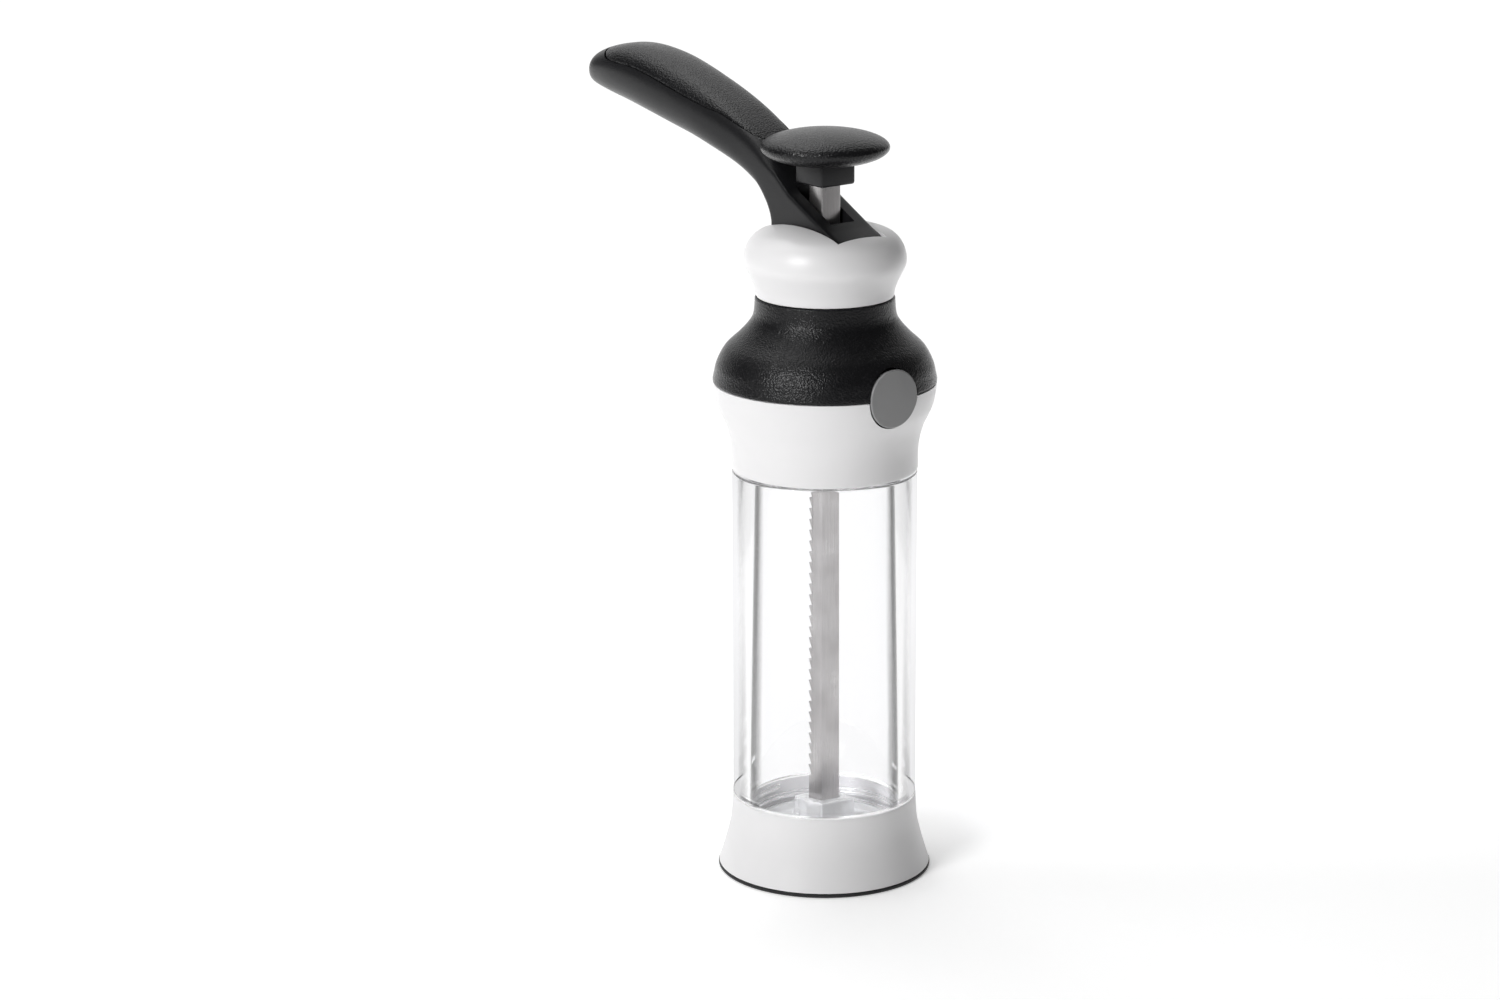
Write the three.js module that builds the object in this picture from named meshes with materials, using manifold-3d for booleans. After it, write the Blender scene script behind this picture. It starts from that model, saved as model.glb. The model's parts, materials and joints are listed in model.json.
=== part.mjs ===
// Hand-lever cookie press: a clear barrel on a flared screw-on base, a ratchet
// plunger, and a housing with a squeeze lever, a release button and two pawls.
// Millimetres, +Z up. +X is the front, where the release button is; the lever's grip runs to -X.
// Every piece is drawn about the press's own axis, and the last group moves it all
// along X, so that the origin ends under the middle of the object's box.
import * as THREE from "three";
import { mergeVertices } from "three/addons/utils/BufferGeometryUtils.js";
import { ParametricGeometry } from "three/addons/geometries/ParametricGeometry.js";
import Module from "manifold-3d";

// ---- driving dimensions ----
const GAP = 0.3; // between pieces that touch on the real press
const SIDES = 32; // facets round a large turned piece

const BORE_R = 22.7; // inside of the barrel
const BARREL_R = 28.8; // outside of the barrel
const BARREL_TOP = 129.4; // shoulder under the housing
const NECK_R = 25.0; // threaded neck and bayonet spigot
const NECK_BOTTOM = 13.6;
const SPIGOT_TOP = 136;

const RIM_Z = 24; // top of the base cap
const FOOT_R = 33.55;
const FOOT_TOP = 1.05;
const SCREW_LEAD = 3; // base travel in one turn
const THREAD_TURNS = 2.5;
const THREAD_DEPTH = 1.3;
const CAP_WALL_R = 26.7; // inside of the base cap at its thread

const DISC_R = 25.6;
const DISC_BOTTOM = 12.3;
const DISC_THICK = 1;

const RACK_FRONT = 3.1;
const RACK_BACK = -3.4; // tips of the teeth
const RACK_HALF_WIDTH = 3.6;
const RACK_SHEET = 1.1;
const RACK_BOTTOM = 19;
const RACK_TOP = 224;
const TOOTH_PITCH = 3.35;
const TOOTH_DEPTH = 1.5;
const TOOTH_FIRST = 34.5; // lowest flat
const TOOTH_COUNT = 50;

const SHELL_BOTTOM = 130; // white lower shell of the housing
const SEAM_Z = 157.2; // where the shell meets the soft sleeve
const SLEEVE_TOP = 183.8;
const CHASSIS_FLOOR = 141.2;
const CHASSIS_SHEET = 2.5;
const WALL_INNER_Y = 10; // chassis side walls
const WALL_OUTER_Y = 12.4;

const PIVOT = [12, 197]; // lever pin, in X and Z
const LEVER_HALF_WIDTH = 9.1;
const SLOT_HALF_WIDTH = 4.6;
const COLLAR_SLOT_HALF = 9.4;
const PALM_HALF_WIDTH = 12.2;

const DRIVE_PIN = [-10.5, 206];
const LOCK_PIN = [-11, 172];
const BUTTON_Z = 157.5;
const BUTTON_R = 9;
const BUTTON_FACE = 33.7;
const BUTTON_HOLE_R = 9.35;

const KNOB_R = 19.7;
const KNOB_Z = 229.8;
const KNOB_HALF_THICK = 5.6;
const HUB_HALF = 6.6;
const HUB_BOTTOM = 218.6;

const LEVER_TIP = -117; // far end of the grip
const SLEEVE_R = 34.7; // widest, just above the seam
const FRAME_SHIFT = (-LEVER_TIP - BUTTON_FACE) / 2; // press axis to box centre

// ---- solids ----
const wasm = await Module();
wasm.setup();

function solid(geometry) {
  const bare = geometry.index ? geometry.toNonIndexed() : geometry.clone();
  bare.deleteAttribute("normal");
  bare.deleteAttribute("uv");
  const merged = mergeVertices(bare, 1e-4);
  const index = merged.index.array;
  const kept = [];
  for (let i = 0; i < index.length; i += 3) {
    const [a, b, c] = [index[i], index[i + 1], index[i + 2]];
    if (a !== b && b !== c && c !== a) kept.push(a, b, c);
  }
  const build = (triVerts) =>
    new wasm.Manifold(
      new wasm.Mesh({
        numProp: 3,
        vertProperties: merged.attributes.position.array,
        triVerts: new Uint32Array(triVerts),
      }),
    );
  const made = build(kept);
  return made.volume() < 0 ? build(kept.reverse()) : made;
}

function geometryOf(body) {
  const mesh = body.getMesh();
  const positions = new Float32Array(mesh.numVert * 3);
  for (let i = 0; i < mesh.numVert; i++) {
    const start = i * mesh.numProp;
    positions.set(mesh.vertProperties.subarray(start, start + 3), i * 3);
  }
  const geometry = new THREE.BufferGeometry();
  geometry.setAttribute("position", new THREE.BufferAttribute(positions, 3));
  geometry.setIndex(new THREE.BufferAttribute(mesh.triVerts, 1));
  geometry.computeVertexNormals();
  return geometry;
}

const vectors = (points) => points.map(([x, y]) => new THREE.Vector2(x, y));

// A turned piece about +Z from points (radius, height); the outline closes on itself.
function turned(points, sides = SIDES) {
  const outline = vectors(points);
  outline.push(outline[0].clone());
  return solid(new THREE.LatheGeometry(outline, sides).rotateX(Math.PI / 2));
}

// A side outline in X and Z, as wide as asked and centred on y.
function plate(points, width, y = 0) {
  const shape = new THREE.Shape(vectors(points));
  const geometry = new THREE.ExtrudeGeometry(shape, { depth: width, bevelEnabled: false });
  return solid(geometry.rotateX(Math.PI / 2).translate(0, y + width / 2, 0));
}

// A plan outline in X and Y between two heights.
function slab(shape, bottom, top, curveSegments = 8) {
  const geometry = new THREE.ExtrudeGeometry(shape, {
    depth: top - bottom,
    bevelEnabled: false,
    curveSegments,
  });
  return solid(geometry.translate(0, 0, bottom));
}

// A block between two corners.
function block([x0, y0, z0], [x1, y1, z1]) {
  const geometry = new THREE.BoxGeometry(x1 - x0, y1 - y0, z1 - z0);
  return solid(geometry.translate((x0 + x1) / 2, (y0 + y1) / 2, (z0 + z1) / 2));
}

// A round bar along Y through (x, z).
function crossBar(radius, y0, y1, [x, z], sides = 16) {
  const geometry = new THREE.CylinderGeometry(radius, radius, y1 - y0, sides);
  return solid(geometry.translate(x, (y0 + y1) / 2, z));
}

// A round bar along X through (y = 0, z).
function frontBar(radius, x0, x1, z, sides = 24) {
  const geometry = new THREE.CylinderGeometry(radius, radius, x1 - x0, sides);
  return solid(geometry.rotateZ(Math.PI / 2).translate((x0 + x1) / 2, 0, z));
}

// A smooth run of points through the ones given.
function smooth(points, steps) {
  return new THREE.SplineCurve(vectors(points)).getPoints(steps).map((p) => [p.x, p.y]);
}

// A helical ridge that fades out at both ends. Its root sits a little inside the wall.
function threadRidge(rootR, crestR, bottom, phase) {
  const ROOT_HALF = 0.9;
  const CREST_HALF = 0.35;
  const FADE = 0.06;
  const buried = rootR + Math.sign(rootR - crestR) * 0.2;
  const section = [
    [buried, -ROOT_HALF],
    [crestR, -CREST_HALF],
    [crestR, CREST_HALF],
    [buried, ROOT_HALF],
  ];
  const place = (u, v, target) => {
    const [r, dz] = section[Math.round(u * 4) % 4];
    const grow = Math.min(1, v / FADE, (1 - v) / FADE);
    const angle = phase + v * THREAD_TURNS * 2 * Math.PI;
    const radius = buried + (r - buried) * grow;
    const z = bottom + v * THREAD_TURNS * SCREW_LEAD + dz * grow;
    target.set(radius * Math.cos(angle), radius * Math.sin(angle), z);
  };
  return solid(new ParametricGeometry(place, 4, 60));
}

// A coil of round wire about a pin along Y.
function coil(coilR, wireR, y0, turns, pitch, [x, z]) {
  const SIDES_OF_WIRE = 5;
  const path = (v) => {
    const angle = v * turns * 2 * Math.PI;
    return [angle, y0 + v * turns * pitch];
  };
  const place = (u, v, target) => {
    const [angle, y] = path(v);
    const end = v === 0 || v === 1 ? 0 : 1;
    const r = coilR + end * wireR * Math.cos(u * 2 * Math.PI);
    target.set(x + r * Math.cos(angle), y + end * wireR * Math.sin(u * 2 * Math.PI), z + r * Math.sin(angle));
  };
  return solid(new ParametricGeometry(place, SIDES_OF_WIRE, Math.round(turns * 9)));
}

// ---- materials ----
const finish = (color, roughness, metalness = 0) => ({ color, roughness, metalness });
const WHITE_GLOSS = finish(0xf1f0f2, 0.18);
const SOFT_BLACK = finish(0x19191c, 0.62);
const SATIN_BLACK = finish(0x1c1c1f, 0.45);
const CLEAR = finish(0xdfe4e8, 0.06);
const STEEL = finish(0xb9b6b6, 0.32, 1);
const SPRING_STEEL = finish(0x9a9a9c, 0.35, 1);
const GREY_BUTTON = finish(0x7d7d7e, 0.4);
const GREY_NYLON = finish(0xb8bab6, 0.5);
const RUBBER = finish(0x121213, 0.8);

const press = new THREE.Group();
press.position.x = FRAME_SHIFT;

function part(name, body, look) {
  const mesh = new THREE.Mesh(geometryOf(body), new THREE.MeshStandardMaterial(look));
  mesh.name = name;
  press.add(mesh);
}

// ---- base: flared cap, thread, foot ring and disc ----
const CAP_OUTSIDE = smooth(
  [
    [33.3, FOOT_TOP + GAP],
    [32.45, 4],
    [30.7, 10],
    [29.4, 16],
    [28.9, RIM_Z],
  ],
  9,
);
const THREAD_Z = NECK_BOTTOM + 1.4;
{
  const LEDGE_R = 21.8;
  const cap = turned([
    ...CAP_OUTSIDE,
    [CAP_WALL_R, RIM_Z],
    [CAP_WALL_R, DISC_BOTTOM - GAP],
    [LEDGE_R, DISC_BOTTOM - GAP],
    [LEDGE_R, 10],
    [27.4, 8.4],
    [30.6, FOOT_TOP + GAP],
  ]);
  const innerThread = threadRidge(
    CAP_WALL_R,
    CAP_WALL_R - THREAD_DEPTH,
    THREAD_Z - SCREW_LEAD / 2,
    0,
  );
  const trim = turned([
    [20, 0],
    [CAP_WALL_R + 1, 0],
    [CAP_WALL_R + 1, RIM_Z],
    [20, RIM_Z],
  ]);
  part("base_cap", cap.add(innerThread.intersect(trim)), WHITE_GLOSS);
}
part(
  "nonslip_ring",
  turned([
    [31, 0],
    [FOOT_R - 0.25, 0],
    [FOOT_R, 0.4],
    [FOOT_R, FOOT_TOP],
    [31, FOOT_TOP],
  ]),
  RUBBER,
);
{
  const PETALS = 6;
  const outline = new THREE.Shape().absarc(0, 0, DISC_R, 0, 2 * Math.PI);
  const centre = new THREE.Path().absarc(0, 0, 2.2, 0, 2 * Math.PI);
  outline.holes.push(centre);
  for (let i = 0; i < PETALS; i++) {
    const turn = (i / PETALS) * 2 * Math.PI;
    const at = (r, spread) => [r * Math.cos(turn + spread), r * Math.sin(turn + spread)];
    const petal = new THREE.Path();
    petal.moveTo(...at(5, 0));
    petal.quadraticCurveTo(...at(10, 0.34), ...at(14.5, 0));
    petal.quadraticCurveTo(...at(10, -0.34), ...at(5, 0));
    outline.holes.push(petal);
  }
  part("cookie_disc", slab(outline, DISC_BOTTOM, DISC_BOTTOM + DISC_THICK, 10), STEEL);
}

// ---- barrel: thick clear tube, threaded neck below, bayonet spigot above ----
{
  const tube = turned([
    [BORE_R, NECK_BOTTOM],
    [NECK_R, NECK_BOTTOM],
    [NECK_R, RIM_Z + GAP],
    [BARREL_R, RIM_Z + GAP],
    [BARREL_R, BARREL_TOP],
    [NECK_R, BARREL_TOP],
    [NECK_R, SPIGOT_TOP],
    [BORE_R, SPIGOT_TOP],
  ]);
  const thread = threadRidge(NECK_R, NECK_R + THREAD_DEPTH, THREAD_Z, 0);
  const bottomTrim = turned([
    [20, NECK_BOTTOM],
    [30, NECK_BOTTOM],
    [30, RIM_Z + GAP],
    [20, RIM_Z + GAP],
  ]);
  let barrel = tube.add(thread.intersect(bottomTrim));
  barrel = barrel.add(arcSegments(24.9, 26.5, 133.2, 135.4, 4, 0.22, Math.PI / 4));
  part("barrel", barrel, CLEAR);
}

// Equal arc-shaped lugs round the axis, each reaching `half` radians to both sides.
function arcSegments(inner, outer, bottom, top, count, half, first) {
  let all = null;
  for (let i = 0; i < count; i++) {
    const middle = first + (i / count) * 2 * Math.PI;
    const shape = new THREE.Shape();
    shape.absarc(0, 0, outer, middle - half, middle + half, false);
    shape.absarc(0, 0, inner, middle + half, middle - half, true);
    const lug = slab(shape, bottom, top, 5);
    all = all ? all.add(lug) : lug;
  }
  return all;
}

// ---- housing shells ----
const buttonHole = frontBar(BUTTON_HOLE_R, 15, 40, BUTTON_Z);
const SLEEVE_OUTSIDE = smooth(
  [
    [SLEEVE_R, SEAM_Z + GAP],
    [34.2, 160],
    [33.3, 163.5],
    [30.8, 168],
    [26.6, 172],
    [23.5, 175.5],
    [22, 178.5],
    [21.5, SLEEVE_TOP],
  ],
  10,
);
const SLEEVE_WALL = 2.5;
const carrier = SLEEVE_OUTSIDE.map(([r, z]) => [r - SLEEVE_WALL, z]).filter(([, z]) => z < 176);
{
  const outside = smooth(
    [
      [28.9, SHELL_BOTTOM],
      [28.95, 135],
      [29.3, 139],
      [30.6, 144],
      [33.1, 149.5],
      [34.2, 154],
      [34.5, SEAM_Z],
    ],
    8,
  );
  const CARRIER_WALL = 2.2;
  const inside = [...carrier].reverse().map(([r, z]) => [r - GAP - CARRIER_WALL, z]);
  const shell = turned([
    ...outside,
    ...carrier.map(([r, z]) => [r - GAP, Math.max(z, SEAM_Z)]),
    ...inside,
    [29.8, 150],
    [27.4, 144.5],
    [26.9, CHASSIS_FLOOR - GAP],
    [12, CHASSIS_FLOOR - GAP],
    [12, SPIGOT_TOP + 1.9],
    [27, SPIGOT_TOP + 1.9],
    [27, SHELL_BOTTOM],
  ]);
  const ledge = arcSegments(25.4, 27.3, 130.4, 132.7, 4, 0.36, Math.PI / 4);
  let body = shell.add(ledge).subtract(buttonHole);
  for (const [x, y] of screwPlaces()) body = body.subtract(upright(1.5, 130, 142, x, y));
  part("body_shell", body, WHITE_GLOSS);
}
part(
  "grip_sleeve",
  turned([
    ...SLEEVE_OUTSIDE,
    [SLEEVE_OUTSIDE.at(-1)[0] - SLEEVE_WALL, SLEEVE_TOP],
    ...[...SLEEVE_OUTSIDE].reverse().slice(1).map(([r, z]) => [r - SLEEVE_WALL, z]),
  ]).subtract(buttonHole),
  SOFT_BLACK,
);
{
  const outside = smooth(
    [
      [21.2, SLEEVE_TOP + GAP],
      [21.7, 187],
      [23.1, 190.3],
      [24.7, 193.5],
      [25, 196],
      [24.2, 199.3],
      [22.3, 202.2],
      [19, 204.2],
      [12.5, 205.8],
      [6, 206.6],
      [0, 206.8],
    ],
    14,
  );
  const shell = turned([
    ...outside,
    [0, 204.4],
    [13, 203.3],
    [19.5, 201.5],
    [22.2, 198.8],
    [22.7, 196],
    [20.6, 190.6],
    [19.2, 187],
    [17.3, 184],
    [17.3, 177],
    [18.7, 177],
    [18.7, SLEEVE_TOP + GAP],
  ]);
  const slot = block([-30, -COLLAR_SLOT_HALF, 196], [18, COLLAR_SLOT_HALF, 215]);
  part("collar_shell", shell.subtract(slot), WHITE_GLOSS);
}
part(
  "barrel_gasket",
  turned([
    [22.9, SPIGOT_TOP + GAP],
    [24.9, SPIGOT_TOP + GAP],
    [24.9, SPIGOT_TOP + 1.6],
    [22.9, SPIGOT_TOP + 1.6],
  ]),
  RUBBER,
);

// ---- chassis, guides and screws ----
function screwPlaces() {
  const CIRCLE_R = 21.5;
  return [45, 135, 225, 315].map((degrees) => {
    const angle = (degrees * Math.PI) / 180;
    return [CIRCLE_R * Math.cos(angle), CIRCLE_R * Math.sin(angle)];
  });
}

// A round bar along Z through (x, y).
function upright(radius, bottom, top, x, y, sides = 8) {
  const geometry = new THREE.CylinderGeometry(radius, radius, top - bottom, sides);
  return solid(geometry.rotateX(Math.PI / 2).translate(x, y, (bottom + top) / 2));
}

const GUIDE_HALF_X = 6.5;
const GUIDE_HALF_Y = 6.5;
const guideBore = block([-4, -4.2, 100], [3.7, 4.2, 260]);
{
  const floorTop = CHASSIS_FLOOR + CHASSIS_SHEET;
  const wallOutline = [
    [-13.4, floorTop - 0.5],
    [11.5, floorTop - 0.5],
    [11.5, 188],
    [15.6, 193],
    [15.6, 199],
    [13.8, 200.6],
    [9.4, 200.6],
    [7, 192],
    [-9, 178.5],
    [-11, 176.3],
    [-13.4, 175.6],
  ];
  const width = WALL_OUTER_Y - WALL_INNER_Y;
  const middle = (WALL_OUTER_Y + WALL_INNER_Y) / 2;
  let chassis = turned([
    [0, CHASSIS_FLOOR],
    [26.4, CHASSIS_FLOOR],
    [26.4, floorTop],
    [0, floorTop],
  ]);
  chassis = chassis.add(plate(wallOutline, width, middle)).add(plate(wallOutline, width, -middle));
  chassis = chassis.subtract(
    block([-GUIDE_HALF_X - GAP, -GUIDE_HALF_Y - GAP, 138], [GUIDE_HALF_X + GAP, GUIDE_HALF_Y + GAP, 146]),
  );
  chassis = chassis.subtract(crossBar(2.3, -14, 14, PIVOT));
  chassis = chassis.subtract(crossBar(1.8, -14, 14, LOCK_PIN));
  for (const [x, y] of screwPlaces()) chassis = chassis.subtract(upright(1.5, 140, 145, x, y));
  part("chassis", chassis, GREY_NYLON);
}
part(
  "rack_guide_lower",
  block([-GUIDE_HALF_X, -GUIDE_HALF_Y, 138.5], [GUIDE_HALF_X, GUIDE_HALF_Y, 149]).subtract(guideBore),
  GREY_NYLON,
);
part(
  "rack_guide_upper",
  block([-GUIDE_HALF_X, -WALL_INNER_Y + GAP, 178], [GUIDE_HALF_X, WALL_INNER_Y - GAP, 183.5])
    .subtract(guideBore),
  GREY_NYLON,
);
screwPlaces().forEach(([x, y], i) => {
  const seat = CHASSIS_FLOOR + CHASSIS_SHEET + GAP;
  const head = upright(2.5, seat, seat + 1.6, x, y, 12);
  const shank = upright(1.2, 138.4, seat + 0.1, x, y);
  const recess = block([x - 1.3, y - 0.35, seat + 0.9], [x + 1.3, y + 0.35, seat + 3]);
  const crossRecess = block([x - 0.35, y - 1.3, seat + 0.9], [x + 0.35, y + 1.3, seat + 3]);
  part("chassis_screw_" + (i + 1), head.add(shank).subtract(recess).subtract(crossRecess), STEEL);
});

// ---- lever, its pin and its return spring ----
const GRIP_TOP = smooth(
  [
    [-8, 217],
    [-22, 228.4],
    [-35, 235.8],
    [-50, 242.2],
    [-65, 247],
    [-80, 250.2],
    [-95, 251],
    [-108, 248.2],
    [-114.5, 243.8],
    [LEVER_TIP, 240],
  ],
  22,
);
const GRIP_UNDER = smooth(
  [
    [LEVER_TIP, 240],
    [-113, 236.4],
    [-104, 234.4],
    [-90, 232],
    [-70, 227.9],
    [-50, 223.8],
    [-33, 219.4],
    [-22, 214.2],
    [-16.5, 209],
    [-8, 205],
  ],
  18,
);
// The soft pad is a tongue let into the top of the grip; half widths along it.
const PAD_HALF_WIDTH = [
  [-105.5, 0],
  [-104.5, 5],
  [-101, 9.4],
  [-95, 11],
  [-84, 11.1],
  [-67, 10.8],
  [-50, 9.9],
  [-41, 8.8],
  [-31.7, 7.8],
  [-25, 6],
  [-22.3, 3],
  [-21.3, 0],
];
const PAD_DEPTH = 6.5;

// The pad's room: its plan grown by `extra`, from `extra` under its floor to above the grip.
function padRoom(extra) {
  const side = PAD_HALF_WIDTH.map(([x, y]) => [x < -60 ? x - extra : x + extra, y + (y ? extra : 0)]);
  const plan = new THREE.Shape(vectors([...side, ...side.slice(1, -1).reverse().map(([x, y]) => [x, -y])]));
  const floor = GRIP_TOP.map(([x, z]) => [x, z - PAD_DEPTH - extra]);
  const above = plate([...floor, [LEVER_TIP, 262], [GRIP_TOP[0][0], 262]], 40);
  return slab(plan, 190, 262).intersect(above);
}

const GRIP_HALF_WIDTH = smooth(
  [
    [-8, LEVER_HALF_WIDTH],
    [-30, LEVER_HALF_WIDTH + 0.3],
    [-55, PALM_HALF_WIDTH - 1],
    [-85, PALM_HALF_WIDTH],
    [-102, PALM_HALF_WIDTH - 0.8],
    [-112, PALM_HALF_WIDTH * 0.68],
    [LEVER_TIP, 0],
  ],
  18,
);

// The value of a run of points at x, straight between neighbours.
function valueAt(points, x) {
  const run = [...points].sort((a, b) => a[0] - b[0]);
  const next = Math.max(1, run.findIndex(([px]) => px >= x));
  const [[x0, y0], [x1, y1]] = [run[next - 1], run[next]];
  return y0 + ((y1 - y0) * (x - x0)) / (x1 - x0);
}

const grip = (() => {
  const GRIP_END = -8.5;
  const STATIONS = 16;
  const SQUARENESS = 2.5; // 2 would be an ellipse
  const bulge = (t) => Math.sign(t) * Math.abs(t) ** (2 / SQUARENESS);
  const place = (u, v, target) => {
    const along = Math.min(1, v / (1 - 1 / STATIONS)) ** 1.5;
    const x = LEVER_TIP + (GRIP_END - LEVER_TIP) * along;
    const [top, under] = [valueAt(GRIP_TOP, x), valueAt(GRIP_UNDER, x)];
    const size = v > 1 - 0.5 / STATIONS ? 0 : 1;
    const angle = u * 2 * Math.PI;
    const y = size * valueAt(GRIP_HALF_WIDTH, x) * bulge(Math.cos(angle));
    target.set(x, y, (top + under) / 2 + size * ((top - under) / 2) * bulge(Math.sin(angle)));
  };
  return solid(new ParametricGeometry(place, 20, STATIONS));
})();
{
  const blockOutline = [
    [17.6, 203.4],
    [11.5, 206.2],
    [-6.5, 215.4],
    [-13, 220.6],
    [-24, 226],
    [-24, 216.6],
    [-17.4, 212],
    [-15.2, 209.6],
    [-15.2, 206],
    [-16, 203.4],
    [-15, 200.8],
    [6.6, 195.2],
    ...smooth([[8.6, 193.5], [12, 192.2], [15.4, 193.5], [16.9, 197]], 4),
  ];
  const slotOutline = [
    [-13.2, 185],
    [18.5, 185],
    [18.5, 202.4],
    [5.4, 202.4],
    [9.4, 209],
    [9.4, 225],
    [-8.5, 225],
    [-8.5, 212],
    [-13.2, 209.6],
  ];
  let lever = plate(blockOutline, 2 * LEVER_HALF_WIDTH).add(grip);
  lever = lever.subtract(plate(slotOutline, 2 * SLOT_HALF_WIDTH));
  lever = lever.subtract(crossBar(2.3, -14, 14, PIVOT));
  lever = lever.subtract(crossBar(1.6, -8, 8, DRIVE_PIN, 12));
  lever = lever.subtract(padRoom(GAP));
  part("lever_body", lever, SATIN_BLACK);
  part("lever_grip_pad", grip.intersect(padRoom(0)), SOFT_BLACK);
}
part("lever_pin", crossBar(2, -14.4, 14.4, PIVOT), STEEL);
for (const [name, side] of [
  ["lever_pin_clip_left", -1],
  ["lever_pin_clip_right", 1],
]) {
  const [near, far] = [side * 12.8, side * 13.6].sort((a, b) => a - b);
  part(name, crossBar(3.8, near, far, PIVOT).subtract(crossBar(2.3, -15, 15, PIVOT)), STEEL);
}
part("lever_return_spring", coil(3.5, 0.5, -3.7, 6, 1.23, PIVOT), SPRING_STEEL);

// ---- drive pawl, on the lever behind the rack ----
{
  const NOSE = [-3.7, 200.6];
  const arm = plate(
    [
      NOSE,
      [NOSE[0], NOSE[1] + 1],
      [-8.7, 207.4],
      [-12.2, 204.6],
      [-8.4, 200.2],
    ],
    8,
  );
  const boss = crossBar(2.2, -1.9, 1.9, DRIVE_PIN);
  const sideRoom = crossBar(2.9, 1.9, 8, DRIVE_PIN).add(crossBar(2.9, -8, -1.9, DRIVE_PIN));
  const pawl = arm.subtract(sideRoom).add(boss).subtract(crossBar(1.6, -8, 8, DRIVE_PIN, 12));
  part("drive_pawl", pawl, STEEL);
}
part("drive_pawl_pin", crossBar(1.3, -8, 8, DRIVE_PIN, 12), STEEL);
part("drive_pawl_spring", coil(2.05, 0.25, 2.35, 3, 0.62, DRIVE_PIN), SPRING_STEEL);

// ---- lock pawl, on the chassis behind the rack ----
{
  const NOSE = [-3.7, 163];
  const arm = plate(
    [
      NOSE,
      [NOSE[0], NOSE[1] + 1],
      [-8.7, 173.2],
      [-13.3, 170.8],
      [-9.7, 161.4],
      [-9.3, 155],
      [-6.9, 155],
      [-6.9, 161.2],
    ],
    8.4,
  );
  const pawl = arm.add(crossBar(2.9, -4.2, 4.2, LOCK_PIN)).subtract(crossBar(1.8, -8, 8, LOCK_PIN, 12));
  part("lock_pawl", pawl, STEEL);
}
part("lock_pawl_pin", crossBar(1.5, -12.3, 12.3, LOCK_PIN, 12), STEEL);
part("lock_pawl_spring", coil(2.6, 0.4, 4.9, 4, 0.95, LOCK_PIN), SPRING_STEEL);

// ---- release button and the yoke that it pushes ----
{
  const face = frontBar(BUTTON_R, BUTTON_FACE - 1.6, BUTTON_FACE, BUTTON_Z);
  const cup = frontBar(8.4, 23, BUTTON_FACE - 1.5, BUTTON_Z).subtract(frontBar(6.4, 20, 30, BUTTON_Z));
  const web = block([24, -7, BUTTON_Z - 2], [31, 7, BUTTON_Z + 2]);
  const ears = block([24.6, -11, 154.5], [26.2, 11, 160.5]).subtract(
    block([24, -6.5, 150], [27, 6.5, 165]),
  );
  part("release_button", face.add(cup).add(ears).add(web), GREY_BUTTON);

  const [low, high] = [BUTTON_Z - 2, BUTTON_Z + 2];
  const frame = block([-6.5, -8.6, low], [11, 8.6, high]);
  const opening = block([-4.6, -6.4, 150], [8.2, 6.4, 165]);
  const stem = block([10.9, -3, low], [24 - GAP, 3, high]);
  part("release_yoke", frame.subtract(opening).add(stem), GREY_NYLON);
}

// ---- plunger: rack, piston and knob ----
const RACK_PIN = [-0.15, 21.7];
const KNOB_PIN = [-0.15, 221.6];
{
  const rear = [];
  for (let i = 0; i < TOOTH_COUNT; i++) {
    const flat = TOOTH_FIRST + i * TOOTH_PITCH;
    rear.push([RACK_BACK, flat]);
    rear.push([RACK_BACK + TOOTH_DEPTH, flat]);
  }
  const profile = [
    [RACK_FRONT, RACK_BOTTOM],
    [RACK_FRONT, RACK_TOP],
    [RACK_BACK, RACK_TOP],
    [RACK_BACK, TOOTH_FIRST + TOOTH_COUNT * TOOTH_PITCH],
    ...rear.reverse(),
    [RACK_BACK, RACK_BOTTOM],
  ];
  const channel = block(
    [-10, -RACK_HALF_WIDTH + RACK_SHEET, 0],
    [RACK_FRONT - RACK_SHEET, RACK_HALF_WIDTH - RACK_SHEET, 300],
  );
  let rack = plate(profile, 2 * RACK_HALF_WIDTH).subtract(channel);
  rack = rack.subtract(crossBar(1.5, -8, 8, RACK_PIN, 12)).subtract(crossBar(1.5, -8, 8, KNOB_PIN, 12));
  part("rack", rack, STEEL);
}
const rackSocket = (bottom, top) =>
  block([RACK_BACK - GAP, -RACK_HALF_WIDTH - GAP, bottom], [RACK_FRONT + GAP, RACK_HALF_WIDTH + GAP, top]);
{
  const PLATE_R = 22.35;
  const dish = turned([
    [0, 13.9],
    [PLATE_R, 13.9],
    [PLATE_R, 17.4],
    [20.8, 17.4],
    [19.8, 15.8],
    [0, 15.8],
  ]);
  const boss = block([-6.8, -6.8, 15], [6.8, 6.8, 24.3]);
  const piston = dish.add(boss).subtract(rackSocket(RACK_BOTTOM - GAP, 30));
  part("piston", piston.subtract(crossBar(1.5, -6.2, 6.2, RACK_PIN, 12)), CLEAR);
}
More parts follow.
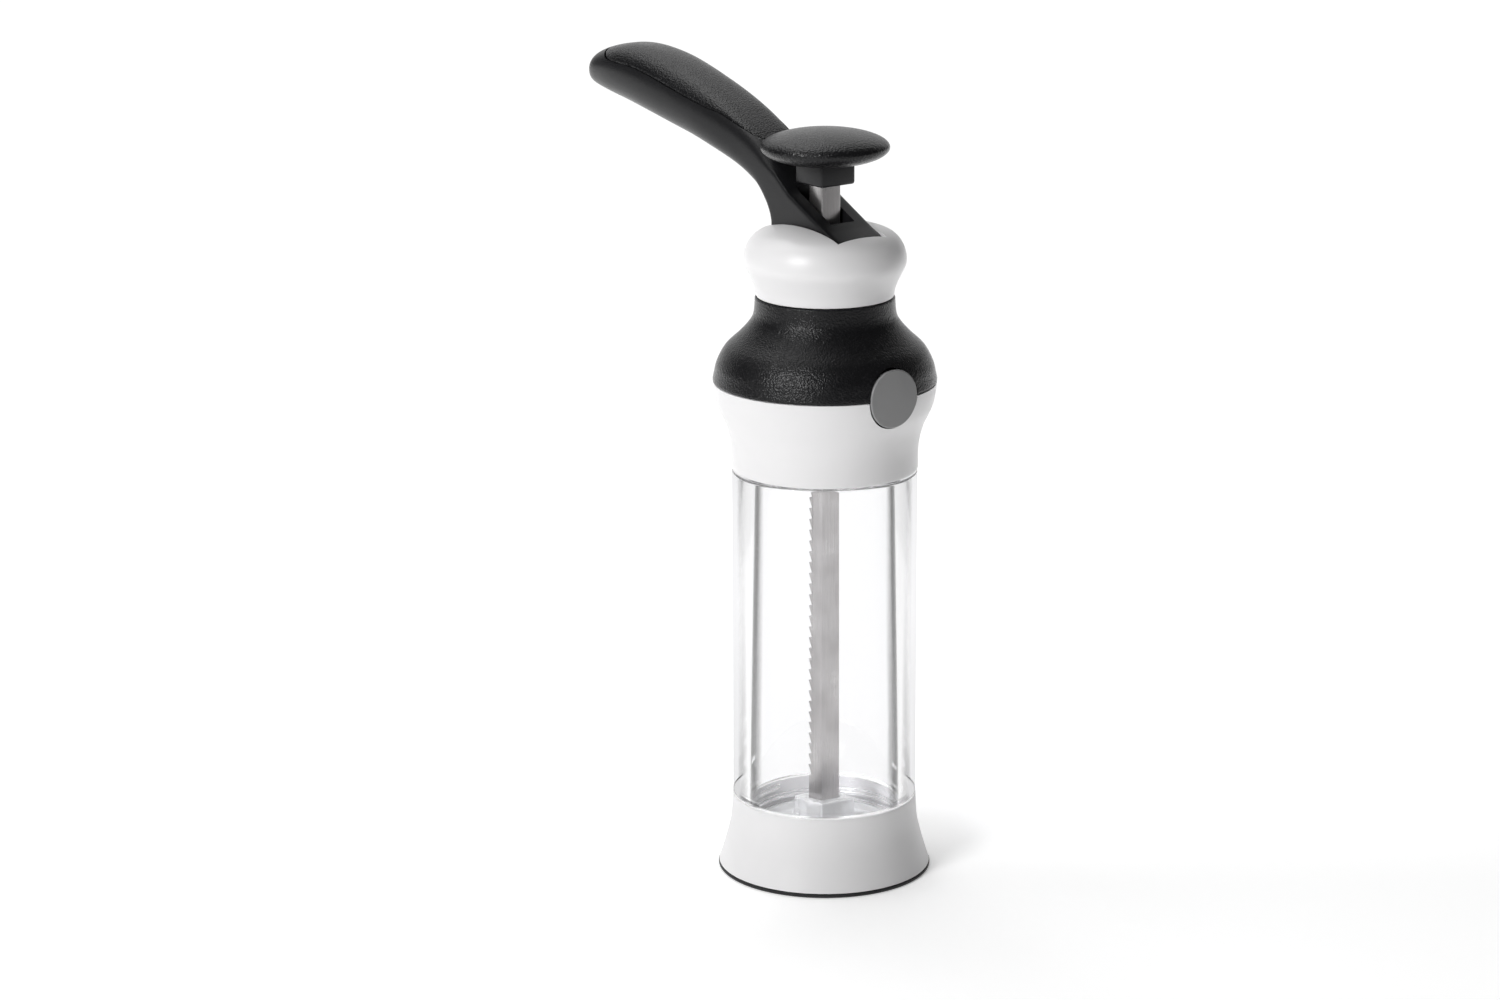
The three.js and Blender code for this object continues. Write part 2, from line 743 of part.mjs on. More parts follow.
part("rack_pin", crossBar(1.2, -5.9, 5.9, RACK_PIN, 12), STEEL);
{
  const hub = block([-HUB_HALF, -HUB_HALF, HUB_BOTTOM], [HUB_HALF, HUB_HALF, 226.4]);
  const core = hub.subtract(rackSocket(200, RACK_TOP + GAP)).subtract(crossBar(1.5, -6.2, 6.2, KNOB_PIN, 12));
  part("knob_hub", core, SATIN_BLACK);

  const crown = new THREE.EllipseCurve(0, KNOB_Z, KNOB_R, KNOB_HALF_THICK, -Math.PI / 2, Math.PI / 2);
  const outline = crown.getPoints(12).map((p) => [Math.max(p.x, 0), p.y]);
  const pocket = block(
    [-HUB_HALF - GAP, -HUB_HALF - GAP, 210],
    [HUB_HALF + GAP, HUB_HALF + GAP, 226.4 + GAP],
  );
  part("knob_cap", turned(outline).subtract(pocket), SOFT_BLACK);
}
part("knob_pin", crossBar(1.2, -5.9, 5.9, KNOB_PIN, 12), STEEL);

export default press;
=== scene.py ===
"""A hand-lever cookie press: clear barrel, flared white base, soft black grip sleeve,
ratchet plunger with a round knob, grey release button and an arched squeeze lever.

Lengths in the outlines are millimetres from the press's own axis; `metres` puts them in the frame.
"""

import json
import math

import bmesh
import bpy
from mathutils import Matrix, Vector


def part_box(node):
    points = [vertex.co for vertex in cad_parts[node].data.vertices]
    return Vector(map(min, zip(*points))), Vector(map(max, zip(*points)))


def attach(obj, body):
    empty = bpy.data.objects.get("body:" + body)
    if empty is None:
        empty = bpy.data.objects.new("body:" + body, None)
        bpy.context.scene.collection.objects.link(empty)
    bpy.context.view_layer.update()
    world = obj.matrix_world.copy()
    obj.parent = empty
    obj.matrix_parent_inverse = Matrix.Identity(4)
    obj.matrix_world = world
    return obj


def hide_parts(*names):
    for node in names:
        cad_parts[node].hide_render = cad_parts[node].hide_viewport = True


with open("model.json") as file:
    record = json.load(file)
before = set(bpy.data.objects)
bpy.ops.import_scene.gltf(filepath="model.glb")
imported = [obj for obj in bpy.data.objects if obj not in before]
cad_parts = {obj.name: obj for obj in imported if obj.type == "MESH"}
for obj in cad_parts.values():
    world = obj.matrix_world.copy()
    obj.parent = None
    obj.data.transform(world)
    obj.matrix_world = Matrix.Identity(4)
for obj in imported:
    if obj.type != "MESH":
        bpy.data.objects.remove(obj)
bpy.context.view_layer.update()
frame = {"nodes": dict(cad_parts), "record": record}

MM = 0.001
barrel_low, barrel_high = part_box("barrel")
AXIS_X = (barrel_low.x + barrel_high.x) / 2  # the press's own axis
ROUND_STEPS = 144  # facets round a large turned piece
EASE = 0.35  # radius, in mm, left on a moulded edge


def metres(x, y, z):
    """A point in mm about the press's axis, in the frame's metres."""
    return (AXIS_X + x * MM, y * MM, z * MM)


# ---------------------------------------------------------------- outlines


def spline(points, steps):
    """A uniform Catmull-Rom run through points, `steps` spans long."""
    last = len(points) - 1
    run = []
    for i in range(steps + 1):
        place = last * i / steps
        k = min(int(place), last - 1)
        t = place - k
        p0, p1 = points[max(k - 1, 0)], points[k]
        p2, p3 = points[k + 1], points[min(k + 2, last)]
        run.append(tuple(
            0.5 * ((2 * b) + (c - a) * t + (2 * a - 5 * b + 4 * c - d) * t * t
                   + (3 * b - a - 3 * c + d) * t ** 3)
            for a, b, c, d in zip(p0, p1, p2, p3)
        ))
    return run


def corner(centre, radius, start, end, steps=5):
    """Arc points in degrees, for a rounded corner of an outline."""
    turn = [math.radians(start + (end - start) * i / steps) for i in range(steps + 1)]
    return [(centre[0] + radius * math.cos(a), centre[1] + radius * math.sin(a)) for a in turn]


def value_at(points, x):
    """The second value of a run of points where its first is x."""
    run = sorted(points)
    k = next((i for i, p in enumerate(run) if p[0] >= x), len(run) - 1)
    (x0, y0), (x1, y1) = run[max(k, 1) - 1], run[max(k, 1)]
    return y0 + (y1 - y0) * (x - x0) / (x1 - x0)


# ---------------------------------------------------------------- meshes


def new_object(name, mesh):
    """An object of that mesh, linked to the scene."""
    made = bpy.data.objects.new(name, mesh)
    bpy.context.scene.collection.objects.link(made)
    return made


def from_bmesh(name, bm):
    """An object of that bmesh, its doubles merged and its faces turned outwards."""
    bmesh.ops.remove_doubles(bm, verts=bm.verts, dist=1e-7)
    bmesh.ops.recalc_face_normals(bm, faces=bm.faces)
    mesh = bpy.data.meshes.new(name)
    bm.to_mesh(mesh)
    bm.free()
    return new_object(name, mesh)


def turned(name, outline, steps=ROUND_STEPS):
    """A closed outline of (radius, height) in mm turned about the press's axis."""
    bm = bmesh.new()
    rings = []
    for r, z in outline:
        if r < 1e-6:
            rings.append([bm.verts.new(metres(0, 0, z))])
            continue
        ring = []
        for i in range(steps):
            a = 2 * math.pi * i / steps
            ring.append(bm.verts.new(metres(r * math.cos(a), r * math.sin(a), z)))
        rings.append(ring)
    for here, there in zip(rings, rings[1:] + rings[:1]):
        if len(here) == 1 and len(there) == 1:
            continue
        for i in range(steps):
            j = (i + 1) % steps
            around = [
                here[i % len(here)], here[j % len(here)], there[j % len(there)], there[i % len(there)],
            ]
            corners = list(dict.fromkeys(around))
            bm.faces.new(corners)
    return from_bmesh(name, bm)


def loft(name, sections):
    """A closed body through rings of points in mm; its ends are closed flat."""
    bm = bmesh.new()
    rings = [[bm.verts.new(metres(*p)) for p in ring] for ring in sections]
    count = len(rings[0])
    for here, there in zip(rings, rings[1:]):
        for i in range(count):
            j = (i + 1) % count
            bm.faces.new((here[i], here[j], there[j], there[i]))
    bm.faces.new(rings[0])
    bm.faces.new(rings[-1][::-1])
    return from_bmesh(name, bm)


def plate(name, outline, width):
    """A side outline (x, z) in mm, `width` wide and centred on the press's middle plane."""
    return loft(name, [[(x, y, z) for x, z in outline] for y in (-width / 2, width / 2)])


def block(name, low, high):
    """A square-edged block in mm between two opposite corners."""
    (x0, y0, z0), (x1, y1, z1) = low, high
    outline = [(x0, z0), (x1, z0), (x1, z1), (x0, z1)]
    return loft(name, [[(x, y, z) for x, z in outline] for y in (y0, y1)])


def bar(name, radius, start, end, steps=48):
    """A round bar in mm between two points."""
    start, end = Vector(start), Vector(end)
    along = (end - start).normalized()
    side = along.orthogonal().normalized()
    up = along.cross(side)
    rings = []
    for place in (start, end):
        ring = []
        for i in range(steps):
            a = 2 * math.pi * i / steps
            ring.append(tuple(place + radius * (math.cos(a) * side + math.sin(a) * up)))
        rings.append(ring)
    return loft(name, rings)


def run_modifier(piece, kind, **settings):
    """Adds one modifier, applies it to the mesh and clears it."""
    modifier = piece.modifiers.new(kind.title(), kind)
    for key, value in settings.items():
        setattr(modifier, key, value)
    graph = bpy.context.evaluated_depsgraph_get()
    mesh = bpy.data.meshes.new_from_object(piece.evaluated_get(graph))
    piece.modifiers.clear()
    piece.data = mesh
    return piece


def combine(piece, other, operation):
    """Joins, cuts or keeps the common part of two closed bodies; the second is used up."""
    run_modifier(piece, "BOOLEAN", operation=operation, object=other, solver="EXACT")
    bpy.data.objects.remove(other)
    return piece


def rounded(piece, width, angle=30, segments=3):
    """Rounds the edges that turn by more than `angle` degrees; width in mm."""
    return run_modifier(piece, "BEVEL", width=width * MM, segments=segments,
                        limit_method="ANGLE", angle_limit=math.radians(angle),
                        use_clamp_overlap=True, harden_normals=False)


def cast(piece, voxel, passes):
    """Re-skins a body in one even mesh, so that its edges get a moulding's small radius."""
    run_modifier(piece, "REMESH", mode="VOXEL", voxel_size=voxel * MM)
    return run_modifier(piece, "SMOOTH", factor=0.5, iterations=passes)


def finish_piece(piece, body, material, stands_for, sharp=35):
    """Dresses a piece, rides it on its body and lets it stand for the CAD nodes it shows."""
    piece.data.materials.clear()
    piece.data.materials.append(material)
    piece.data.shade_smooth()
    if sharp:
        piece.data.set_sharp_from_angle(angle=math.radians(sharp))
    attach(piece, body)
    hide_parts(*stands_for)
    return piece


# ---------------------------------------------------------------- shader groups


def new_group(name, inputs, outputs):
    """An empty shader group: inputs are (name, kind, default), outputs (name, kind)."""
    group = bpy.data.node_groups.new(name, "ShaderNodeTree")
    for label, kind, default in inputs:
        socket = group.interface.new_socket(label, in_out="INPUT", socket_type=kind)
        socket.default_value = default
    for label, kind in outputs:
        group.interface.new_socket(label, in_out="OUTPUT", socket_type=kind)
    return group, group.nodes.new("NodeGroupInput"), group.nodes.new("NodeGroupOutput")


def add(tree, kind, links=(), **settings):
    """Adds a node, sets its values and links (socket name or index -> source socket)."""
    made = tree.nodes.new(kind)
    for key, value in settings.items():
        setattr(made, key, value)
    for key, source in dict(links).items():
        if isinstance(source, bpy.types.NodeSocket):
            tree.links.new(source, made.inputs[key])
        else:
            made.inputs[key].default_value = source
    return made


FLOAT = "NodeSocketFloat"


def grain_group():
    """Moulded texture: fine round grain over a slow waviness; gives height and a 0-1 mask."""
    group, given, out = new_group(
        "moulded_grain",
        [("Grain scale", FLOAT, 3000.0), ("Waviness", FLOAT, 0.2), ("Wave scale", FLOAT, 60.0)],
        [("Height", FLOAT), ("Speckle", FLOAT)],
    )
    place = add(group, "ShaderNodeTexCoord").outputs["Object"]
    grain_scale, wave_scale = given.outputs["Grain scale"], given.outputs["Wave scale"]
    cells = add(group, "ShaderNodeTexVoronoi", {"Vector": place, "Scale": grain_scale})
    fine = add(group, "ShaderNodeTexNoise", {"Vector": place, "Scale": grain_scale, "Detail": 1.0})
    wave = add(group, "ShaderNodeTexNoise", {"Vector": place, "Scale": wave_scale, "Detail": 2.0})
    both = add(group, "ShaderNodeMath", {0: cells.outputs["Distance"], 1: fine.outputs["Fac"]},
               operation="ADD")
    slow = add(group, "ShaderNodeMath", {0: wave.outputs["Fac"], 1: given.outputs["Waviness"]},
               operation="MULTIPLY")
    height = add(group, "ShaderNodeMath", {0: both.outputs[0], 1: slow.outputs[0]}, operation="ADD")
    speckle = add(group, "ShaderNodeMapRange",
                  {"Value": fine.outputs["Fac"], "From Min": 0.58, "From Max": 0.72})
    group.links.new(height.outputs[0], out.inputs["Height"])
    group.links.new(speckle.outputs[0], out.inputs["Speckle"])
    return group


def brushed_group():
    """Fine lines drawn along Z: height and a mask for colour and roughness."""
    group, given, out = new_group(
        "brushed_lines",
        [("Line scale", FLOAT, 9000.0), ("Length scale", FLOAT, 60.0)],
        [("Height", FLOAT), ("Streak", FLOAT)],
    )
    place = add(group, "ShaderNodeTexCoord").outputs["Object"]
    parts = add(group, "ShaderNodeSeparateXYZ", {0: place})
    across = [
        add(group, "ShaderNodeMath", {0: parts.outputs[i], 1: given.outputs["Line scale"]},
            operation="MULTIPLY")
        for i in (0, 1)
    ]
    along = add(group, "ShaderNodeMath", {0: parts.outputs[2], 1: given.outputs["Length scale"]},
                operation="MULTIPLY")
    joined = add(group, "ShaderNodeCombineXYZ",
                 {0: across[0].outputs[0], 1: across[1].outputs[0], 2: along.outputs[0]})
    lines = add(group, "ShaderNodeTexNoise", {"Vector": joined.outputs[0], "Scale": 1.0, "Detail": 3.0})
    cloud = add(group, "ShaderNodeTexNoise", {"Vector": place, "Scale": 90.0, "Detail": 2.0})
    mixed = add(group, "ShaderNodeMath", {0: lines.outputs["Fac"], 1: cloud.outputs["Fac"]},
                operation="MULTIPLY")
    streak = add(group, "ShaderNodeMapRange",
                 {"Value": mixed.outputs[0], "From Min": 0.12, "From Max": 0.4})
    group.links.new(lines.outputs["Fac"], out.inputs["Height"])
    group.links.new(streak.outputs[0], out.inputs["Streak"])
    return group


def handling_group():
    """Faint marks of use: soft smudges and short hair scratches, both 0-1 masks."""
    group, given, out = new_group(
        "handling_marks",
        [("Smudge scale", FLOAT, 45.0), ("Scratch scale", FLOAT, 220.0)],
        [("Smudge", FLOAT), ("Scratch", FLOAT)],
    )
    place = add(group, "ShaderNodeTexCoord").outputs["Object"]
    cloud = add(group, "ShaderNodeTexNoise",
                {"Vector": place, "Scale": given.outputs["Smudge scale"], "Detail": 4.0, "Distortion": 0.6})
    smudge = add(group, "ShaderNodeMapRange",
                 {"Value": cloud.outputs["Fac"], "From Min": 0.45, "From Max": 0.75})
    hair = add(group, "ShaderNodeTexNoise",
               {"Vector": place, "Scale": given.outputs["Scratch scale"], "Detail": 1.0, "Distortion": 3.5})
    centre = add(group, "ShaderNodeMath", {0: hair.outputs["Fac"], 1: 0.5}, operation="SUBTRACT")
    near = add(group, "ShaderNodeMath", {0: centre.outputs[0]}, operation="ABSOLUTE")
    scratch = add(group, "ShaderNodeMapRange", {
        "Value": near.outputs[0], "From Min": 0.0, "From Max": 0.006, "To Min": 1.0, "To Max": 0.0,
    })
    group.links.new(smudge.outputs[0], out.inputs["Smudge"])
    group.links.new(scratch.outputs[0], out.inputs["Scratch"])
    return group


GRAIN = grain_group()
BRUSHED = brushed_group()
HANDLING = handling_group()


# ---------------------------------------------------------------- materials


def new_material(name, **values):
    """A Principled material; returns it with its tree and shader."""
    material = bpy.data.materials.new(name)
    material.use_nodes = True
    shader = material.node_tree.nodes["Principled BSDF"]
    for label, value in values.items():
        shader.inputs[label.replace("_", " ")].default_value = value
    return material, material.node_tree, shader


def use_group(tree, group, **values):
    """A shader group placed in a material with its own values."""
    made = tree.nodes.new("ShaderNodeGroup")
    made.node_tree = group
    for label, value in values.items():
        made.inputs[label.replace("_", " ")].default_value = value
    return made


def between(tree, factor, low, high):
    """low to high, numbers, as factor goes from 0 to 1."""
    return add(tree, "ShaderNodeMapRange", {"Value": factor, "To Min": low, "To Max": high}).outputs[0]


def shade(tree, factor, low, high):
    """low to high, colours, as factor goes from 0 to 1."""
    made = add(tree, "ShaderNodeMix", {"Factor": factor}, data_type="RGBA")
    made.inputs[6].default_value = (*low, 1)
    made.inputs[7].default_value = (*high, 1)
    return made.outputs[2]


def bump(tree, shader, height, distance, strength=1.0):
    """Turns a height into the shader's normal; distance in metres."""
    made = add(tree, "ShaderNodeBump", {"Height": height, "Distance": distance, "Strength": strength})
    tree.links.new(made.outputs[0], shader.inputs["Normal"])


def white_gloss():
    material, tree, shader = new_material(
        "white_gloss_abs", IOR=1.5, Coat_Weight=0.05, Coat_Roughness=0.25)
    marks = use_group(tree, HANDLING, Smudge_scale=38.0, Scratch_scale=160.0)
    grain = use_group(tree, GRAIN, Grain_scale=1400.0, Waviness=1.2, Wave_scale=26.0)
    tree.links.new(shade(tree, marks.outputs["Smudge"], (0.765, 0.76, 0.765), (0.745, 0.74, 0.745)),
                   shader.inputs["Base Color"])
    tree.links.new(between(tree, marks.outputs["Smudge"], 0.37, 0.44), shader.inputs["Roughness"])
    bump(tree, shader, grain.outputs["Height"], 0.000006, 0.5)
    return material


def soft_black():
    material, tree, shader = new_material("soft_touch_black", IOR=1.45, Specular_IOR_Level=0.34)
    grain = use_group(tree, GRAIN, Grain_scale=1700.0, Waviness=0.5, Wave_scale=40.0)
    marks = use_group(tree, HANDLING, Smudge_scale=30.0)
    tree.links.new(shade(tree, grain.outputs["Speckle"], (0.006, 0.006, 0.0068), (0.016, 0.016, 0.0175)),
                   shader.inputs["Base Color"])
    tree.links.new(between(tree, marks.outputs["Smudge"], 0.30, 0.36), shader.inputs["Roughness"])
    bump(tree, shader, grain.outputs["Height"], 0.00012, 1.0)
    return material


def satin_black():
    material, tree, shader = new_material("satin_black_nylon", IOR=1.5, Specular_IOR_Level=0.3)
    grain = use_group(tree, GRAIN, Grain_scale=3600.0, Waviness=0.6, Wave_scale=45.0)
    marks = use_group(tree, HANDLING, Smudge_scale=34.0)
    tree.links.new(shade(tree, marks.outputs["Scratch"], (0.0085, 0.0085, 0.0095), (0.016, 0.016, 0.018)),
                   shader.inputs["Base Color"])
    tree.links.new(between(tree, marks.outputs["Smudge"], 0.36, 0.43), shader.inputs["Roughness"])
    bump(tree, shader, grain.outputs["Height"], 0.00002, 0.5)
    return material


SHADOW_TINT = (0.9, 0.9, 0.91)  # lamp light that passes one wall
RIM_SHADE_TINT = (0.84, 0.84, 0.845)  # painted shade: grey of the see-through put on an upright wall seen edge on
EDGE_SHADE_KEEP = 0.88  # painted shade: share of its colour that clear plastic keeps edge on, where it is greyed
SMUDGE_HAZE = 0.015  # roughness that a smudge adds


def clear_plastic(name, roughness, tint, clearness=1.0):
    """Clear plastic with painted shade that greys it edge on, and that lets the lamps through to what is
    inside.
    """
    material, tree, shader = new_material(name, IOR=1.49, Transmission_Weight=clearness)
    marks = use_group(tree, HANDLING, Smudge_scale=24.0, Scratch_scale=90.0)
    edge = add(tree, "ShaderNodeLayerWeight", {"Blend": 0.5})
    edge_shade_mask = add(tree, "ShaderNodeMapRange",
                  {"Value": edge.outputs["Facing"], "From Min": 0.3, "From Max": 0.9})
    scratch_and_edge_shade = add(tree, "ShaderNodeMath", {0: marks.outputs["Scratch"], 1: 0.3, 2: edge_shade_mask.outputs[0]},
                 operation="MULTIPLY_ADD")
    # Painted shade: the colour greys edge on, and a little along scratches.
    tree.links.new(shade(tree, scratch_and_edge_shade.outputs[0], tint, tuple(EDGE_SHADE_KEEP * c for c in tint)),
                   shader.inputs["Base Color"])
    tree.links.new(between(tree, marks.outputs["Smudge"], roughness, roughness + SMUDGE_HAZE),
                   shader.inputs["Roughness"])
    # Painted shade: edge on, an upright wall is swapped for a greyed see-through, standing in for light that
    # would be trapped in the wall.
    rim = add(tree, "ShaderNodeMapRange",
              {"Value": edge.outputs["Facing"], "From Min": 0.5, "From Max": 0.68})
    facing = add(tree, "ShaderNodeSeparateXYZ", {0: add(tree, "ShaderNodeNewGeometry").outputs["Normal"]})
    tilt = add(tree, "ShaderNodeMath", {0: facing.outputs["Z"]}, operation="ABSOLUTE")
    upright = add(tree, "ShaderNodeMapRange", {
        "Value": tilt.outputs[0], "From Min": 0.1, "From Max": 0.35, "To Min": 1.0, "To Max": 0.0,
    })
    rim_share = add(tree, "ShaderNodeMath", {0: rim.outputs[0], 1: upright.outputs[0]}, operation="MULTIPLY")
    rim_shade_see_through = add(tree, "ShaderNodeBsdfTransparent", {"Color": (*RIM_SHADE_TINT, 1)})
    rimmed = add(tree, "ShaderNodeMixShader",
                 {0: rim_share.outputs[0], 1: shader.outputs[0], 2: rim_shade_see_through.outputs[0]})
    # The lamps shine through to the inside.
    lamp_clear = add(tree, "ShaderNodeBsdfTransparent", {"Color": (*SHADOW_TINT, 1)})
    path = add(tree, "ShaderNodeLightPath")
    both = add(tree, "ShaderNodeMixShader",
               {0: path.outputs["Is Shadow Ray"], 1: rimmed.outputs[0], 2: lamp_clear.outputs[0]})
    tree.links.new(both.outputs[0], tree.nodes["Material Output"].inputs["Surface"])
    return material


def brushed_steel(name, low, high, roughness):
    """Drawn or brushed steel, between two tones."""
    material, tree, shader = new_material(name, Metallic=1.0, Anisotropic=0.4)
    lines = use_group(tree, BRUSHED)
    tree.links.new(shade(tree, lines.outputs["Streak"], low, high), shader.inputs["Base Color"])
    tree.links.new(between(tree, lines.outputs["Streak"], roughness + 0.08, roughness),
                   shader.inputs["Roughness"])
    bump(tree, shader, lines.outputs["Height"], 0.000008, 0.6)
    return material


def grey_satin():
    material, tree, shader = new_material("grey_satin_button", IOR=1.5)
    grain = use_group(tree, GRAIN, Grain_scale=2600.0, Waviness=0.8, Wave_scale=30.0)
    marks = use_group(tree, HANDLING, Smudge_scale=60.0)
    tree.links.new(shade(tree, marks.outputs["Smudge"], (0.235, 0.235, 0.237), (0.215, 0.215, 0.218)),
                   shader.inputs["Base Color"])
    tree.links.new(between(tree, grain.outputs["Speckle"], 0.42, 0.34), shader.inputs["Roughness"])
    bump(tree, shader, grain.outputs["Height"], 0.00001, 0.5)
    return material


def matt_nylon():
    material, tree, shader = new_material("natural_nylon", IOR=1.53)
    grain = use_group(tree, GRAIN, Grain_scale=1800.0, Waviness=1.0, Wave_scale=50.0)
    tree.links.new(shade(tree, grain.outputs["Speckle"], (0.46, 0.47, 0.43), (0.52, 0.53, 0.49)),
                   shader.inputs["Base Color"])
    tree.links.new(between(tree, grain.outputs["Speckle"], 0.55, 0.45), shader.inputs["Roughness"])
    bump(tree, shader, grain.outputs["Height"], 0.00002, 0.6)
    return material


def black_rubber():
    material, tree, shader = new_material("black_rubber", IOR=1.5, Sheen_Weight=0.1)
    grain = use_group(tree, GRAIN, Grain_scale=1500.0, Waviness=0.8, Wave_scale=70.0)
    tree.links.new(shade(tree, grain.outputs["Speckle"], (0.006, 0.006, 0.007), (0.014, 0.014, 0.015)),
                   shader.inputs["Base Color"])
    tree.links.new(between(tree, grain.outputs["Speckle"], 0.7, 0.58), shader.inputs["Roughness"])
    bump(tree, shader, grain.outputs["Height"], 0.00003, 0.8)
    return material


WHITE = white_gloss()
SOFT = soft_black()
SATIN = satin_black()
CLEAR = clear_plastic("clear_copolyester", 0.02, (0.985, 0.985, 0.99))
MILKY = clear_plastic("clear_piston_plastic", 0.12, (0.95, 0.955, 0.96), 0.72)
STEEL = brushed_steel("brushed_stainless", (0.40, 0.385, 0.385), (0.60, 0.585, 0.585), 0.26)
WIRE = brushed_steel("drawn_spring_wire", (0.28, 0.28, 0.29), (0.45, 0.45, 0.46), 0.3)
BUTTON = grey_satin()
NYLON = matt_nylon()
RUBBER = black_rubber()

SLOT_MATERIALS = {
    "white_shell": WHITE, "soft_black": SOFT, "satin_black": SATIN, "clear_plastic": CLEAR,
    "stainless": STEEL, "spring_steel": WIRE, "grey_button": BUTTON, "natural_nylon": NYLON,
    "foot_rubber": RUBBER,
}
for row in frame["record"]["subparts"]:
    node = frame["nodes"][row["node"]]
    node.data.materials.clear()
    node.data.materials.append(SLOT_MATERIALS[row["material_slot"]])


# ---------------------------------------------------------------- repeated features


def node_group(name, inputs):
    """An empty geometry group with one geometry output and the named inputs."""
    group = bpy.data.node_groups.new(name, "GeometryNodeTree")
    for label, kind, default in inputs:
        socket = group.interface.new_socket(label, in_out="INPUT", socket_type=kind)
        if default is not None:
            socket.default_value = default
    group.interface.new_socket("Geometry", in_out="OUTPUT", socket_type="NodeSocketGeometry")
    return group, group.nodes.new("NodeGroupInput"), group.nodes.new("NodeGroupOutput")


def close_group(group, geometry, material, out):
    """Ends a group with Realize Instances and Set Material."""
    real = add(group, "GeometryNodeRealizeInstances", {0: geometry})
    dressed = add(group, "GeometryNodeSetMaterial", {"Geometry": real.outputs[0], "Material": material})
    group.links.new(dressed.outputs[0], out.inputs[0])
    return group


def coil_nodes():
    """A round wire or ridge wound about Z: a spiral with a round section swept along it."""
    group, given, out = node_group("wound_wire", [
        ("Turns", FLOAT, 3.0), ("Radius", FLOAT, 0.003), ("Height", FLOAT, 0.005),
        ("Wire", FLOAT, 0.0005), ("Material", "NodeSocketMaterial", None),
    ])
    spiral = add(group, "GeometryNodeCurveSpiral", {
        "Resolution": 40, "Rotations": given.outputs["Turns"], "Start Radius": given.outputs["Radius"],
        "End Radius": given.outputs["Radius"], "Height": given.outputs["Height"],
    })
    ring = add(group, "GeometryNodeCurvePrimitiveCircle",
               {"Resolution": 8, "Radius": given.outputs["Wire"]})
    swept = add(group, "GeometryNodeCurveToMesh",
                {"Curve": spiral.outputs[0], "Profile Curve": ring.outputs[0], "Fill Caps": True})
    smooth = add(group, "GeometryNodeSetShadeSmooth", {"Geometry": swept.outputs[0]})
    return close_group(group, smooth.outputs[0], given.outputs["Material"], out)


def row_nodes():
    """One shape repeated in a straight row."""
    group, given, out = node_group("tooth_row", [
        ("Shape", "NodeSocketObject", None), ("Count", "NodeSocketInt", 10), ("Pitch", FLOAT, 0.003),
        ("Material", "NodeSocketMaterial", None),
    ])
    step = add(group, "ShaderNodeCombineXYZ", {"Z": given.outputs["Pitch"]})
    line = add(group, "GeometryNodeMeshLine", {"Count": given.outputs["Count"], "Offset": step.outputs[0]})
    shape = add(group, "GeometryNodeObjectInfo", {"Object": given.outputs["Shape"]})
    copies = add(group, "GeometryNodeInstanceOnPoints",
                 {"Points": line.outputs[0], "Instance": shape.outputs["Geometry"]})
    return close_group(group, copies.outputs[0], given.outputs["Material"], out)


def ring_nodes():
    """One shape repeated evenly round Z."""
    group, given, out = node_group("shape_ring", [
        ("Shape", "NodeSocketObject", None), ("Count", "NodeSocketInt", 6),
        ("Material", "NodeSocketMaterial", None),
    ])
    points = add(group, "GeometryNodeMeshLine", {"Count": given.outputs["Count"], "Offset": (0, 0, 0)})
    index = add(group, "GeometryNodeInputIndex")
    share = add(group, "ShaderNodeMath", {0: index.outputs[0], 1: given.outputs["Count"]},
                operation="DIVIDE")
    angle = add(group, "ShaderNodeMath", {0: share.outputs[0], 1: 2 * math.pi}, operation="MULTIPLY")
    turn = add(group, "ShaderNodeCombineXYZ", {"Z": angle.outputs[0]})
    shape = add(group, "GeometryNodeObjectInfo", {"Object": given.outputs["Shape"]})
    copies = add(group, "GeometryNodeInstanceOnPoints", {
        "Points": points.outputs[0], "Instance": shape.outputs["Geometry"], "Rotation": turn.outputs[0],
    })
    return close_group(group, copies.outputs[0], given.outputs["Material"], out)


def grow(name, group, place, **values):
    """A plain mesh from a geometry group, then set in its place."""
    made = new_object(name, bpy.data.meshes.new(name))
    modifier = made.modifiers.new("Grow", "NODES")
    modifier.node_group = group
    for socket in group.interface.items_tree:
        if socket.in_out == "INPUT" and socket.name in values:
            modifier[socket.identifier] = values[socket.name]
    graph = bpy.context.evaluated_depsgraph_get()
    mesh = bpy.data.meshes.new_from_object(made.evaluated_get(graph))
    made.modifiers.clear()
    made.data = mesh
    mesh.transform(place)
    return made


COIL = coil_nodes()
ROW = row_nodes()
RING = ring_nodes()


# ---------------------------------------------------------------- base

GAP = 0.3  # clearance between pieces
RIM_R, RIM_Z = 28.9, 24.0  # top edge of the base
FOOT_R, FOOT_TOP = 33.3, 1.05
CAP_OUTSIDE = spline([(FOOT_R, 1.35), (32.45, 4), (30.7, 10), (29.4, 16), (RIM_R, RIM_Z)], 40)
CAP_WALL_R = 26.7
THREAD_LEAD, THREAD_TURNS = 3.0, 2.5
THREAD_Z = 15.0  # start of the neck's ridge; the base's starts half a lead lower
THREAD_WIRE = 0.75  # radius of the ridge's round section


def thread(name, radius, bottom, material):
    """A rounded screw ridge on a wall of that radius."""
    place = Matrix.Translation(metres(0, 0, bottom))
    return grow(name, COIL, place, Turns=THREAD_TURNS, Radius=radius * MM,
                Height=THREAD_TURNS * THREAD_LEAD * MM, Wire=THREAD_WIRE * MM, Material=material)


